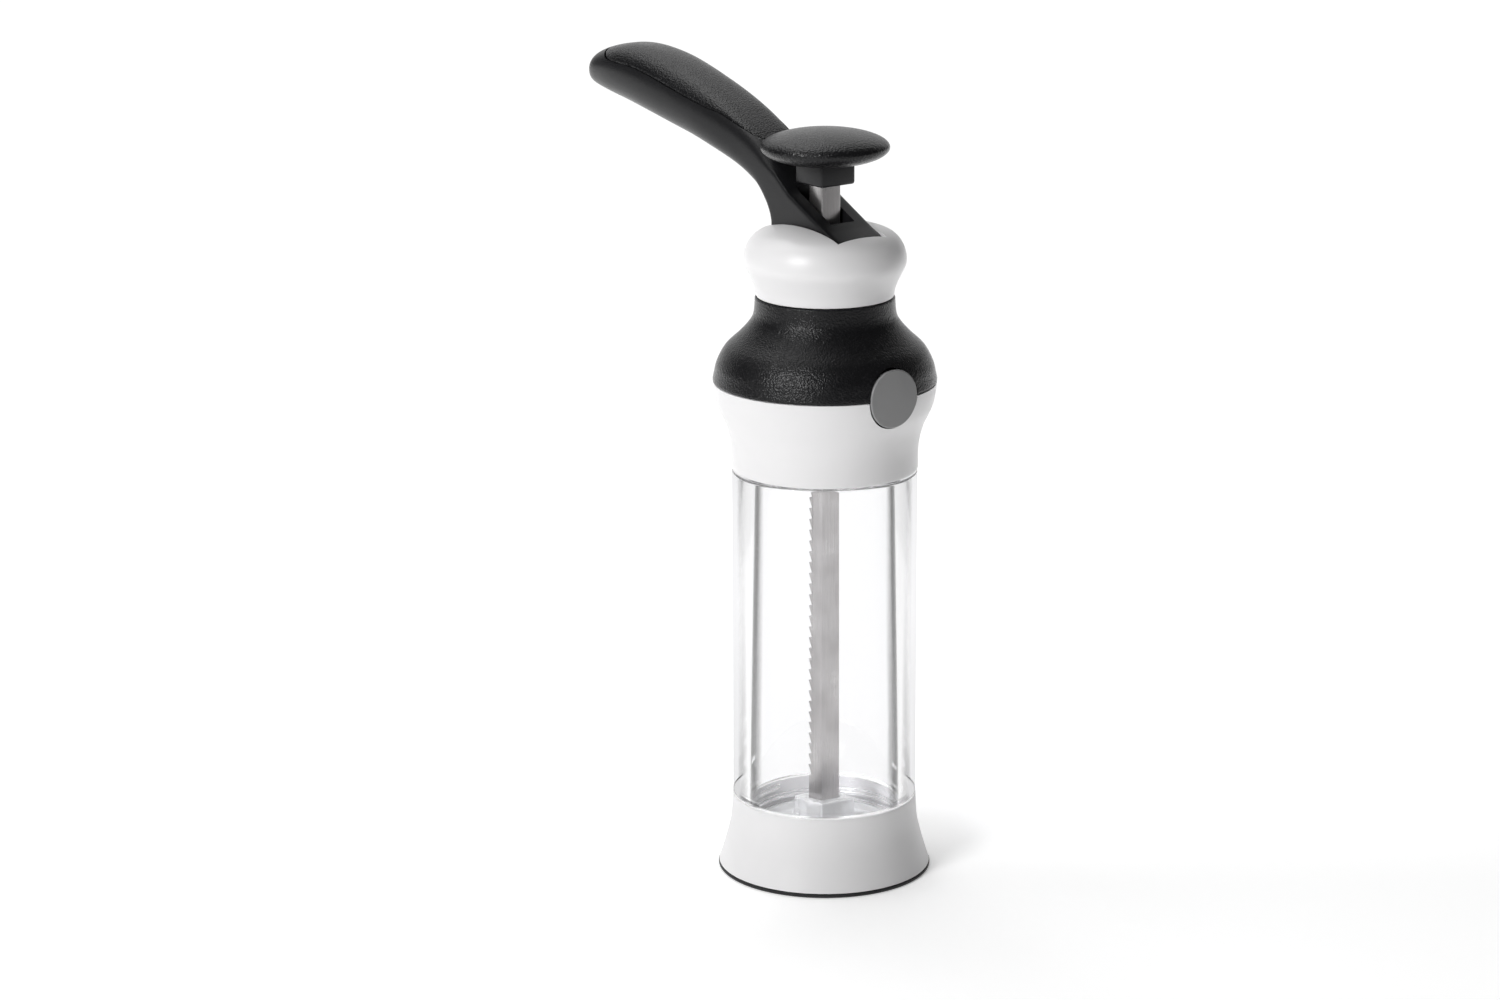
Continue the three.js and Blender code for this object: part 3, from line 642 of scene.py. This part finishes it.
cap = turned("base_shell", [
    *CAP_OUTSIDE[:-2],
    *corner((RIM_R - EASE, RIM_Z - EASE), EASE, 0, 90),
    *corner((CAP_WALL_R + EASE, RIM_Z - EASE), EASE, 90, 180),
    (CAP_WALL_R, 12), (21.8, 12), (21.8, 10), (27.4, 8.4), (30.6, 1.35),
])
finish_piece(cap, "base", WHITE, ["base_cap"])
cap_thread = thread("base_thread", CAP_WALL_R + 0.1, THREAD_Z - THREAD_LEAD / 2, WHITE)
finish_piece(cap_thread, "base", WHITE, ["base_cap"])

foot = turned("foot_ring", [
    (31, 0), *corner((33.1, 0.4), 0.4, -90, 0), *corner((FOOT_R, FOOT_TOP - 0.25), 0.2, 0, 90),
    (31, FOOT_TOP),
])
finish_piece(foot, "base", RUBBER, ["nonslip_ring"])

# ---------------------------------------------------------------- cookie disc

DISC_BOTTOM, DISC_TOP = 12.3, 13.3
DISC_R, DISC_HOLE_R, DISC_EDGE = 25.6, 2.2, 0.2
PETALS, PETAL_BOTTOM, PETAL_CUT = 6, 11, 4
disc = turned("disc_plate", [
    (DISC_HOLE_R, DISC_BOTTOM), (25.4, DISC_BOTTOM), (DISC_R, DISC_BOTTOM + DISC_EDGE),
    (DISC_R, DISC_TOP - DISC_EDGE), (25.4, DISC_TOP), (DISC_HOLE_R, DISC_TOP),
])
petal_outline = spline([(5, 0.0), (8, 1.45), (11, 1.75), (13.4, 0.9), (14.5, 0.0)], 24)
petal_outline += [(r, -w) for r, w in reversed(petal_outline[1:-1])]
shape = bmesh.new()
petal_ring = [shape.verts.new((r * MM, w * MM, PETAL_BOTTOM * MM)) for r, w in petal_outline]
face = shape.faces.new(petal_ring)
top = bmesh.ops.extrude_face_region(shape, geom=[face])["geom"]
bmesh.ops.translate(shape, verts=[v for v in top if isinstance(v, bmesh.types.BMVert)],
                    vec=(0, 0, PETAL_CUT * MM))
petal = from_bmesh("petal", shape)
petals = grow("petals", RING, Matrix.Translation(metres(0, 0, 0)),
              Shape=petal, Count=PETALS, Material=STEEL)
bpy.data.objects.remove(petal)
disc = combine(disc, petals, "DIFFERENCE")
finish_piece(disc, "disc", STEEL, ["cookie_disc"])

# ---------------------------------------------------------------- clear barrel

BORE_R, NECK_R, BARREL_R = 22.7, 25.0, 28.8
NECK_BOTTOM, BARREL_TOP, SPIGOT_TOP = 13.6, 129.4, 136.0
BARREL_EASE, LIP = 0.6, 0.3  # radii of the tube's shoulders and of its two ends
LUG_R, LUG_HALF, LUG_BOTTOM, LUG_TOP = 26.1, 5.2, 133.2, 135.4
LUGS = 4
tube = turned("clear_tube", [
    *corner((BORE_R + LIP, NECK_BOTTOM + LIP), LIP, 180, 270),
    *corner((NECK_R - LIP, NECK_BOTTOM + LIP), LIP, -90, 0),
    (NECK_R, RIM_Z + GAP),
    *corner((BARREL_R - BARREL_EASE, RIM_Z + GAP + BARREL_EASE), BARREL_EASE, -90, 0),
    *corner((BARREL_R - BARREL_EASE, BARREL_TOP - BARREL_EASE), BARREL_EASE, 0, 90),
    (NECK_R, BARREL_TOP),
    *corner((NECK_R - LIP, SPIGOT_TOP - LIP), LIP, 0, 90),
    *corner((BORE_R + LIP, SPIGOT_TOP - LIP), LIP, 90, 180),
])
tube = combine(tube, thread("neck_thread", NECK_R - 0.05, THREAD_Z, CLEAR), "UNION")
# Made about the frame's own axis, then turned into the ring and moved to the press.
lug = block("lug", (NECK_R - AXIS_X / MM - 0.4, -LUG_HALF, LUG_BOTTOM),
            (LUG_R - AXIS_X / MM, LUG_HALF, LUG_TOP))
between_sides = Matrix.Translation(metres(0, 0, 0)) @ Matrix.Rotation(math.radians(45), 4, "Z")
lugs = grow("lugs", RING, between_sides, Shape=lug, Count=LUGS, Material=CLEAR)
bpy.data.objects.remove(lug)
tube = combine(tube, lugs, "UNION")
finish_piece(tube, "barrel", CLEAR, ["barrel"], sharp=50)

# ---------------------------------------------------------------- housing

BUTTON_Z, BUTTON_HOLE_R = 157.5, 9.35
SHELL_FOOT_R, SHELL_FOOT_Z = 28.9, 130
SEAM_R, SEAM_Z, SEAM_EASE = 34.5, 157.2, 0.2
SLEEVE_NECK_R, SLEEVE_TOP, SLEEVE_WALL, SLEEVE_EASE = 21.5, 183.8, 2.5, 0.4
SLEEVE_OUTSIDE = spline([
    (34.7, 157.5), (34.2, 160), (33.3, 163.5), (30.8, 168), (26.6, 172), (23.5, 175.5), (22, 178.5),
    (SLEEVE_NECK_R, SLEEVE_TOP),
], 64)
SHELL_OUTSIDE = spline([
    (SHELL_FOOT_R, SHELL_FOOT_Z), (28.95, 135), (29.3, 139), (30.6, 144), (33.1, 149.5), (34.2, 154),
    (SEAM_R, SEAM_Z),
], 56)
CARRIER_TOP, CARRIER_WALL = 176, 2.2  # the shell's thin part under the sleeve


def button_hole():
    """The tool that cuts the button's hole through a shell."""
    return bar("hole", BUTTON_HOLE_R, (15, 0, BUTTON_Z), (40, 0, BUTTON_Z), steps=96)


carrier = [(r - SLEEVE_WALL, z) for r, z in SLEEVE_OUTSIDE if z < CARRIER_TOP]
shell = turned("lower_shell", [
    *corner((SHELL_FOOT_R - EASE, SHELL_FOOT_Z + EASE), EASE, -90, 0),
    *SHELL_OUTSIDE[3:-1],
    *corner((SEAM_R - SEAM_EASE, SEAM_Z - SEAM_EASE), SEAM_EASE, 0, 90),
    *[(r - GAP, max(z, SEAM_Z)) for r, z in carrier],
    *[(r - GAP - CARRIER_WALL, z) for r, z in reversed(carrier)],
    (29.8, 150), (27.4, 144.5), (26.9, 140.9), (12, 140.9), (12, 137.9), (27, 137.9),
    (27, SHELL_FOOT_Z),
])
shell = combine(shell, button_hole(), "DIFFERENCE")
finish_piece(shell, "housing", WHITE, ["body_shell"], sharp=40)

sleeve = turned("soft_sleeve", [
    (34.3, 157.5), (34.55, 157.6), *SLEEVE_OUTSIDE[3:-1],
    *corner((SLEEVE_NECK_R - SLEEVE_EASE, SLEEVE_TOP - SLEEVE_EASE), SLEEVE_EASE, 0, 90),
    (SLEEVE_NECK_R - SLEEVE_WALL, SLEEVE_TOP),
    *[(r - SLEEVE_WALL, z) for r, z in reversed(SLEEVE_OUTSIDE[:-1])],
])
sleeve = combine(sleeve, button_hole(), "DIFFERENCE")
finish_piece(sleeve, "housing", SOFT, ["grip_sleeve"], sharp=40)

COLLAR_FOOT_R, COLLAR_FOOT_Z, COLLAR_TOP, COLLAR_EASE = 21.2, 184.1, 206.8, 0.3
SLOT_HALF, SLOT_FLOOR = 9.4, 196  # the lever's slot in the collar
COLLAR_OUTSIDE = spline([
    (COLLAR_FOOT_R, COLLAR_FOOT_Z), (21.7, 187), (23.1, 190.3), (24.7, 193.5), (25, 196),
    (24.2, 199.3), (22.3, 202.2), (19, 204.2), (12.5, 205.8), (6, 206.6), (0, COLLAR_TOP),
], 80)
collar = turned("collar", [
    *corner((COLLAR_FOOT_R - COLLAR_EASE, COLLAR_FOOT_Z + COLLAR_EASE), COLLAR_EASE, -90, 0),
    *COLLAR_OUTSIDE[2:-1], (0, COLLAR_TOP), (0, 204.4),
    (13, 203.3), (19.5, 201.5), (22.2, 198.8), (22.7, 196), (20.6, 190.6), (19.2, 187), (17.3, 184),
    (17.3, 177), (18.7, 177), (18.7, COLLAR_FOOT_Z),
])
lever_slot = block("slot", (-30, -SLOT_HALF, SLOT_FLOOR), (18, SLOT_HALF, 215))
collar = combine(collar, lever_slot, "DIFFERENCE")
collar = rounded(collar, 0.45, angle=38)
finish_piece(collar, "housing", WHITE, ["collar_shell"], sharp=40)

# ---------------------------------------------------------------- release button

# The disc is turned about the press's axis and then laid on its side, to face forwards.
BUTTON_R, BUTTON_BACK, BUTTON_FACE, BUTTON_EASE = 9.0, 32.1, 33.7, 0.5
button = turned("button_disc", [
    (0, BUTTON_BACK), (8.6, BUTTON_BACK),
    *corner((BUTTON_R - BUTTON_EASE, BUTTON_FACE - BUTTON_EASE), BUTTON_EASE, 0, 90, 6),
    (0, BUTTON_FACE),
], steps=96)
laid_over = Matrix(((0, 0, 1, AXIS_X), (0, 1, 0, 0), (-1, 0, 0, 0), (0, 0, 0, 1)))
about_x = Matrix.Translation((0, 0, BUTTON_Z * MM)) @ laid_over
button.data.transform(Matrix.Translation((-AXIS_X, 0, 0)))
button.data.transform(about_x)
CUP_R, CUP_BORE_R = 8.4, 6.4
EAR_HALF = 3  # half height of the two ears that keep the button in
cup = bar("button_cup", CUP_R, (23, 0, BUTTON_Z), (32.2, 0, BUTTON_Z))
cup = combine(cup, bar("bore", CUP_BORE_R, (20, 0, BUTTON_Z), (30, 0, BUTTON_Z)), "DIFFERENCE")
for near_y, far_y in ((-11, -6.5), (6.5, 11)):
    ear = block("ear", (24.6, near_y, BUTTON_Z - EAR_HALF), (26.2, far_y, BUTTON_Z + EAR_HALF))
    cup = combine(cup, ear, "UNION")
finish_piece(button, "release", BUTTON, ["release_button"])
finish_piece(cup, "release", BUTTON, ["release_button"])

# ---------------------------------------------------------------- plunger

RACK_FRONT, RACK_BACK, RACK_HALF = 3.1, -3.4, 3.6
TOOTH_DEPTH, TOOTH_PITCH, TOOTH_FIRST, TOOTH_COUNT = 1.5, 3.35, 34.5, 50
RACK_SHEET = 1.1
RACK_BOTTOM, RACK_TOP = 19.0, 224.0
teeth_top = TOOTH_FIRST + (TOOTH_COUNT - 1) * TOOTH_PITCH
rack = plate("rack_channel", [
    (RACK_FRONT, RACK_BOTTOM), (RACK_FRONT, RACK_TOP), (RACK_BACK, RACK_TOP),
    (RACK_BACK, teeth_top + TOOTH_PITCH), (RACK_BACK + TOOTH_DEPTH, teeth_top),
    (RACK_BACK + TOOTH_DEPTH, TOOTH_FIRST - TOOTH_PITCH), (RACK_BACK, TOOTH_FIRST - TOOTH_PITCH),
    (RACK_BACK, RACK_BOTTOM),
], 2 * RACK_HALF)
channel = block("channel", (-10, RACK_SHEET - RACK_HALF, 0),
                (RACK_FRONT - RACK_SHEET, RACK_HALF - RACK_SHEET, 300))
rack = combine(rack, channel, "DIFFERENCE")
rack = rounded(rack, 0.42, angle=60, segments=4)
finish_piece(rack, "plunger", STEEL, ["rack"])
TOOTH_ROOT = RACK_BACK + TOOTH_DEPTH + 0.2  # a little inside the channel's wall
for side in (-1, 1):
    wall = [side * (RACK_HALF - RACK_SHEET), side * RACK_HALF]
    tooth = loft("tooth", [
        [(x, y, z) for x, z in (
            (TOOTH_ROOT, 0), (RACK_BACK + 0.12, 0), (RACK_BACK, -0.14), (TOOTH_ROOT, -TOOTH_PITCH),
        )]
        for y in sorted(wall)
    ])
    tooth.data.transform(Matrix.Translation((-AXIS_X, 0, 0)))
    side_name = "left" if side < 0 else "right"
    row = grow("rack_teeth_" + side_name, ROW, Matrix.Translation(metres(0, 0, TOOTH_FIRST)),
               Shape=tooth, Count=TOOTH_COUNT, Pitch=TOOTH_PITCH * MM, Material=STEEL)
    bpy.data.objects.remove(tooth)
    finish_piece(row, "plunger", STEEL, ["rack"], sharp=20)

PISTON_BOTTOM, PISTON_R, BOSS_HALF = 13.9, 22.35, 6.8
PISTON_PIN_Z, PISTON_PIN_R = 21.7, 1.4
piston = turned("piston_plate", [
    (0, PISTON_BOTTOM), (22.05, PISTON_BOTTOM), (PISTON_R, 14.2), (PISTON_R, 17.1),
    (22.15, 17.4), (20.9, 17.4), (20.6, 17.2),
    (19.9, 16.0), (19.6, 15.8), (0, 15.8),
])
boss = rounded(block("boss", (-BOSS_HALF, -BOSS_HALF, 15), (BOSS_HALF, BOSS_HALF, 24.3)), 0.7)
socket = block("socket", (RACK_BACK - GAP, -RACK_HALF - GAP, RACK_BOTTOM - GAP),
               (RACK_FRONT + GAP, RACK_HALF + GAP, 30))
piston = combine(piston, boss, "UNION")
piston = combine(piston, socket, "DIFFERENCE")
pin_hole = bar("hole", PISTON_PIN_R, (-0.15, -6.2, PISTON_PIN_Z), (-0.15, 6.2, PISTON_PIN_Z))
piston = combine(piston, pin_hole, "DIFFERENCE")
finish_piece(piston, "plunger", MILKY, ["piston"])

KNOB_R, KNOB_Z, KNOB_HALF = 19.7, 229.8, 5.6
HUB_HALF, POCKET_HALF = 6.6, 6.9
crown = [
    (KNOB_R * math.cos(math.radians(a)), KNOB_Z + KNOB_HALF * math.sin(math.radians(a)))
    for a in range(-90, 91, 3)
]
knob = turned("knob", [(max(r, 0), z) for r, z in crown])
pocket = block("pocket", (-POCKET_HALF, -POCKET_HALF, 210), (POCKET_HALF, POCKET_HALF, 226.7))
knob = combine(knob, pocket, "DIFFERENCE")
finish_piece(knob, "plunger", SOFT, ["knob_cap"], sharp=50)
hub = rounded(block("hub", (-HUB_HALF, -HUB_HALF, 218.6), (HUB_HALF, HUB_HALF, 226.4)), 0.9)
hub = combine(hub, block("socket", (RACK_BACK - GAP, -RACK_HALF - GAP, 200),
                         (RACK_FRONT + GAP, RACK_HALF + GAP, RACK_TOP + GAP)), "DIFFERENCE")
finish_piece(hub, "plunger", SATIN, ["knob_hub"])

# ---------------------------------------------------------------- lever

GRIP_TOP = spline([
    (-8, 217), (-22, 228.4), (-35, 235.8), (-50, 242.2), (-65, 247), (-80, 250.2), (-95, 251),
    (-108, 248.2), (-114.5, 243.8), (-117, 240),
], 120)
GRIP_UNDER = spline([
    (-117, 240), (-113, 236.4), (-104, 234.4), (-90, 232), (-70, 227.9), (-50, 223.8), (-33, 219.4),
    (-22, 214.2), (-16.5, 209), (-8, 205),
], 120)
GRIP_HALF = spline([
    (-8, 9.1), (-30, 9.4), (-55, 11.2), (-85, 12.2), (-102, 11.4), (-112, 8.3), (-117, 0),
], 90)
PAD_HALF = spline([
    (-105.5, 0), (-104.5, 5), (-101, 9.4), (-95, 11), (-84, 11.1), (-67, 10.8), (-50, 9.9), (-41, 8.8),
    (-31.7, 7.8), (-25, 6), (-22.3, 3), (-21.3, 0),
], 88)
LEVER_TIP, GRIP_END = -117.0, -8.5
HIGHEST = 251.0  # the grip's top stays at the press's full height
PAD_DEPTH = 6.5
PAD_GROOVE = 0.35  # gap left round the soft pad
PIVOT = (12.0, 197.0)
DRIVE_PIN = (-10.5, 206.0)


def grip_body(name):
    """The arched grip: nearly oval at the palm, squarer towards the fork."""
    stations, around = 110, 96
    sections = []
    for i in range(stations + 1):
        share = (i / stations) ** 1.6
        x = LEVER_TIP + 0.02 + (GRIP_END - LEVER_TIP - 0.02) * share
        top, under, half = (value_at(run, x) for run in (GRIP_TOP, GRIP_UNDER, GRIP_HALF))
        square = 2.4 + 3.2 * min(1, max(0, (x + 60) / 50)) ** 1.5
        ring = []
        for k in range(around):
            a = 2 * math.pi * k / around
            c, s = math.cos(a), math.sin(a)
            y = half * math.copysign(abs(c) ** (2 / square), c)
            z = (top + under) / 2 + (top - under) / 2 * math.copysign(abs(s) ** (2 / square), s)
            ring.append((x, y, min(z, HIGHEST)))
        sections.append(ring)
    return loft(name, sections)


def pad_room(extra):
    """The soft pad's place in the grip, grown by `extra`."""
    sky_z = 262  # clear above the lever
    side = [(x - extra if x < -60 else x + extra, y + (extra if y else 0)) for x, y in PAD_HALF]
    plan = [*side, *[(x, -y) for x, y in reversed(side[1:-1])]]
    tower = loft("tower", [[(x, y, z) for x, y in plan] for z in (190, sky_z)])
    bed = [(x, z - PAD_DEPTH - extra) for x, z in GRIP_TOP]
    above = plate("above", [*bed, (LEVER_TIP, sky_z), (-8, sky_z)], 40)
    return combine(tower, above, "INTERSECT")


fork = plate("fork", [
    (17.6, 203.4), (11.5, 206.2), (-6.5, 215.4), (-13, 220.6), (-24, 226),
    *spline([
        (-27, 221), (-22.5, 216.4), (-18.9, 212.4), (-16.7, 209), (-15.7, 206), (-15.8, 203.4),
    ], 20),
    (-15, 200.8), (6.6, 195.2),
    *spline([(8.6, 193.5), (12, 192.2), (15.4, 193.5), (16.9, 197)], 18),
], 18.2)
fork = rounded(fork, 0.5, angle=25)
lever = cast(combine(grip_body("lever"), fork, "UNION"), 0.5, 9)
slot = plate("slot", [
    (-13.2, 185), (18.5, 185), (18.5, 202.4), (5.4, 202.4), (9.4, 209), (9.4, 225), (-8.5, 225),
    (-8.5, 212), (-13.2, 209.6),
], 9.2)
lever = combine(lever, slot, "DIFFERENCE")
for radius, (x, z), reach in ((2.3, PIVOT, 14), (1.6, DRIVE_PIN, 8)):
    lever = combine(lever, bar("hole", radius, (x, -reach, z), (x, reach, z)), "DIFFERENCE")
lever = combine(lever, pad_room(PAD_GROOVE), "DIFFERENCE")
finish_piece(lever, "lever", SATIN, ["lever_body"], sharp=32)

pad = combine(grip_body("grip_pad"), pad_room(0), "INTERSECT")
pad = cast(pad, 0.36, 5)
finish_piece(pad, "lever", SOFT, ["lever_grip_pad"], sharp=0)

# ---------------------------------------------------------------- springs

ALONG_Y = Matrix.Rotation(math.radians(-90), 4, "X")
LOCK_PIN = (-11.0, 172.0)
for name, node, body, turns, radius, wire, pitch, y0, (x, z) in (
    ("return_coil", "lever_return_spring", "housing", 6, 3.5, 0.5, 1.23, -3.7, PIVOT),
    ("drive_coil", "drive_pawl_spring", "lever", 3, 2.05, 0.25, 0.62, 2.35, DRIVE_PIN),
    ("lock_coil", "lock_pawl_spring", "housing", 4, 2.6, 0.4, 0.95, 4.9, LOCK_PIN),
):
    coil = grow(name, COIL, Matrix.Translation(metres(x, y0, z)) @ ALONG_Y, Turns=float(turns),
                Radius=radius * MM, Height=turns * pitch * MM, Wire=wire * MM, Material=WIRE)
    finish_piece(coil, body, WIRE, [node])

# ---------------------------------------------------------------- stage, light and camera

ROOM_LIGHT, SWEEP_LIGHT, THROUGH_CLEAR = 0.06, 1.0, 0.95
SWEEP_EDGE = (0.68, 0.93)  # how far off straight ahead the sweep fades into the room
KEY_WATTS, TOP_WATTS = 16.5, 8
FLOOR_SIZE, FLOOR_DROP = 9, 0.0001
FLOOR_NEAR_GLOW, FLOOR_FAR_GLOW = 0.28, 1.05
FLOOR_CLEAR_SHARE = 0.75  # part of the even white in the floor seen through clear plastic
FULL_WHITE = 1.05


def glow(name, place, aim, size, power):
    """A soft rectangular lamp turned towards its aim; metres and watts."""
    lamp = bpy.data.lights.new(name, "AREA")
    lamp.shape = "RECTANGLE"
    lamp.size, lamp.size_y = size
    lamp.energy = power
    made = bpy.data.objects.new(name, lamp)
    bpy.context.scene.collection.objects.link(made)
    made.location = place
    made.rotation_euler = (Vector(aim) - Vector(place)).to_track_quat("-Z", "Y").to_euler()


HEADING, DIP, ROLL = math.radians(37.5), math.radians(15.004), math.radians(-0.207)
AHEAD = Vector((-math.cos(HEADING), math.sin(HEADING), 0))
ACROSS = Vector((math.sin(HEADING), math.cos(HEADING), 0))

bpy.ops.mesh.primitive_plane_add(size=FLOOR_SIZE, location=(0, 0, -FLOOR_DROP))
floor = bpy.context.object
floor.name = "studio_floor"
paper, paper_tree, paper_shader = new_material("white_paper", Roughness=0.9, IOR=1.2)
paper_grain = use_group(paper_tree, GRAIN, Grain_scale=900.0, Waviness=0.3, Wave_scale=3.0)
paper_tone = shade(paper_tree, paper_grain.outputs["Speckle"], (0.9, 0.9, 0.9), (0.93, 0.93, 0.93))
paper_tree.links.new(paper_tone, paper_shader.inputs["Base Color"])
paper_shader.inputs["Emission Color"].default_value = (1, 1, 1, 1)
floor_place = add(paper_tree, "ShaderNodeTexCoord").outputs["Object"]
floor_depth = add(paper_tree, "ShaderNodeVectorMath", {0: floor_place, 1: AHEAD},
                  operation="DOT_PRODUCT")
floor_glow = add(paper_tree, "ShaderNodeMapRange",
                 {"Value": floor_depth.outputs["Value"], "From Min": -0.05, "From Max": 0.6,
                  "To Min": FLOOR_NEAR_GLOW, "To Max": FLOOR_FAR_GLOW})
paper_tree.links.new(floor_glow.outputs[0], paper_shader.inputs["Emission Strength"])
# Seen through clear plastic the sweep is an even, slightly greyer white.
floor_path = add(paper_tree, "ShaderNodeLightPath")
floor_share = add(paper_tree, "ShaderNodeMath",
                  {0: floor_path.outputs["Is Transmission Ray"], 1: FLOOR_CLEAR_SHARE},
                  operation="MULTIPLY")
even = add(paper_tree, "ShaderNodeEmission", {"Strength": THROUGH_CLEAR})
floor_mix = add(paper_tree, "ShaderNodeMixShader",
                {0: floor_share.outputs[0], 1: paper_shader.outputs[0], 2: even.outputs[0]})
# Away from the press it runs into the white of the room, whichever side it is seen from.
floor_reach = add(paper_tree, "ShaderNodeVectorMath", {0: floor_place}, operation="LENGTH")
far_out = add(paper_tree, "ShaderNodeMapRange",
              {"Value": floor_reach.outputs["Value"], "From Min": 0.25, "From Max": 0.6})
far_seen = add(paper_tree, "ShaderNodeMath",
               {0: far_out.outputs[0], 1: floor_path.outputs["Is Camera Ray"]}, operation="MULTIPLY")
white_out = add(paper_tree, "ShaderNodeEmission", {"Strength": FULL_WHITE})
floor_end = add(paper_tree, "ShaderNodeMixShader",
                {0: far_seen.outputs[0], 1: floor_mix.outputs[0], 2: white_out.outputs[0]})
paper_tree.links.new(floor_end.outputs[0], paper_tree.nodes["Material Output"].inputs["Surface"])
floor.data.materials.append(paper)

# A white sweep behind the press and to its left, and a dim room on the camera's side.
world = bpy.data.worlds.new("studio")
bpy.context.scene.world = world
world.use_nodes = True
sky = world.node_tree
towards = add(sky, "ShaderNodeTexCoord").outputs["Generated"]
level = add(sky, "ShaderNodeVectorMath", {0: towards, 1: (1, 1, 0)}, operation="MULTIPLY")
bearing = add(sky, "ShaderNodeVectorMath", {0: level.outputs[0]}, operation="NORMALIZE")
sweep = add(sky, "ShaderNodeVectorMath", {0: bearing.outputs[0], 1: AHEAD}, operation="DOT_PRODUCT")
light = add(sky, "ShaderNodeMapRange",
            {"Value": sweep.outputs["Value"], "From Min": SWEEP_EDGE[0], "From Max": SWEEP_EDGE[1],
             "To Min": ROOM_LIGHT, "To Max": SWEEP_LIGHT})
path = add(sky, "ShaderNodeLightPath")
through = add(sky, "ShaderNodeMath", {0: path.outputs["Is Transmission Ray"], 1: THROUGH_CLEAR},
              operation="MULTIPLY")
behind = add(sky, "ShaderNodeMath", {0: light.outputs[0], 1: through.outputs[0]}, operation="MAXIMUM")
strength = add(sky, "ShaderNodeMix",
               {0: path.outputs["Is Camera Ray"], 2: behind.outputs[0], 3: FULL_WHITE})
sky.links.new(strength.outputs[0], sky.nodes["Background"].inputs["Strength"])
sky.nodes["Background"].inputs["Color"].default_value = (1, 1, 1, 1)

CENTRE = Vector((0.02, 0, 0.13))  # what the lamps are turned to
camera = bpy.data.objects.new("camera", bpy.data.cameras.new("camera"))
bpy.context.scene.collection.objects.link(camera)
camera.data.lens = 92.54
camera.data.sensor_width = 36
camera.location = metres(903.6, -722.6, 429.1)
ahead = AHEAD * math.cos(DIP) - Vector((0, 0, math.sin(DIP)))
stand = Matrix((ACROSS, ACROSS.cross(ahead), -ahead)).transposed()
camera.rotation_euler = (stand @ Matrix.Rotation(ROLL, 3, "Z")).to_euler()
bpy.context.scene.camera = camera

KEY_PLACE = CENTRE + 1.4 * (-0.766 * AHEAD - 0.643 * ACROSS) + Vector((0, 0, 0.8))
TOP_PLACE = CENTRE + 0.3 * AHEAD - 0.4 * ACROSS + Vector((0, 0, 1.3))
glow("key", KEY_PLACE, CENTRE, (0.5, 0.6), KEY_WATTS)
glow("top", TOP_PLACE, CENTRE, (1.1, 0.9), TOP_WATTS)
bpy.context.scene.view_settings.view_transform = "Standard"
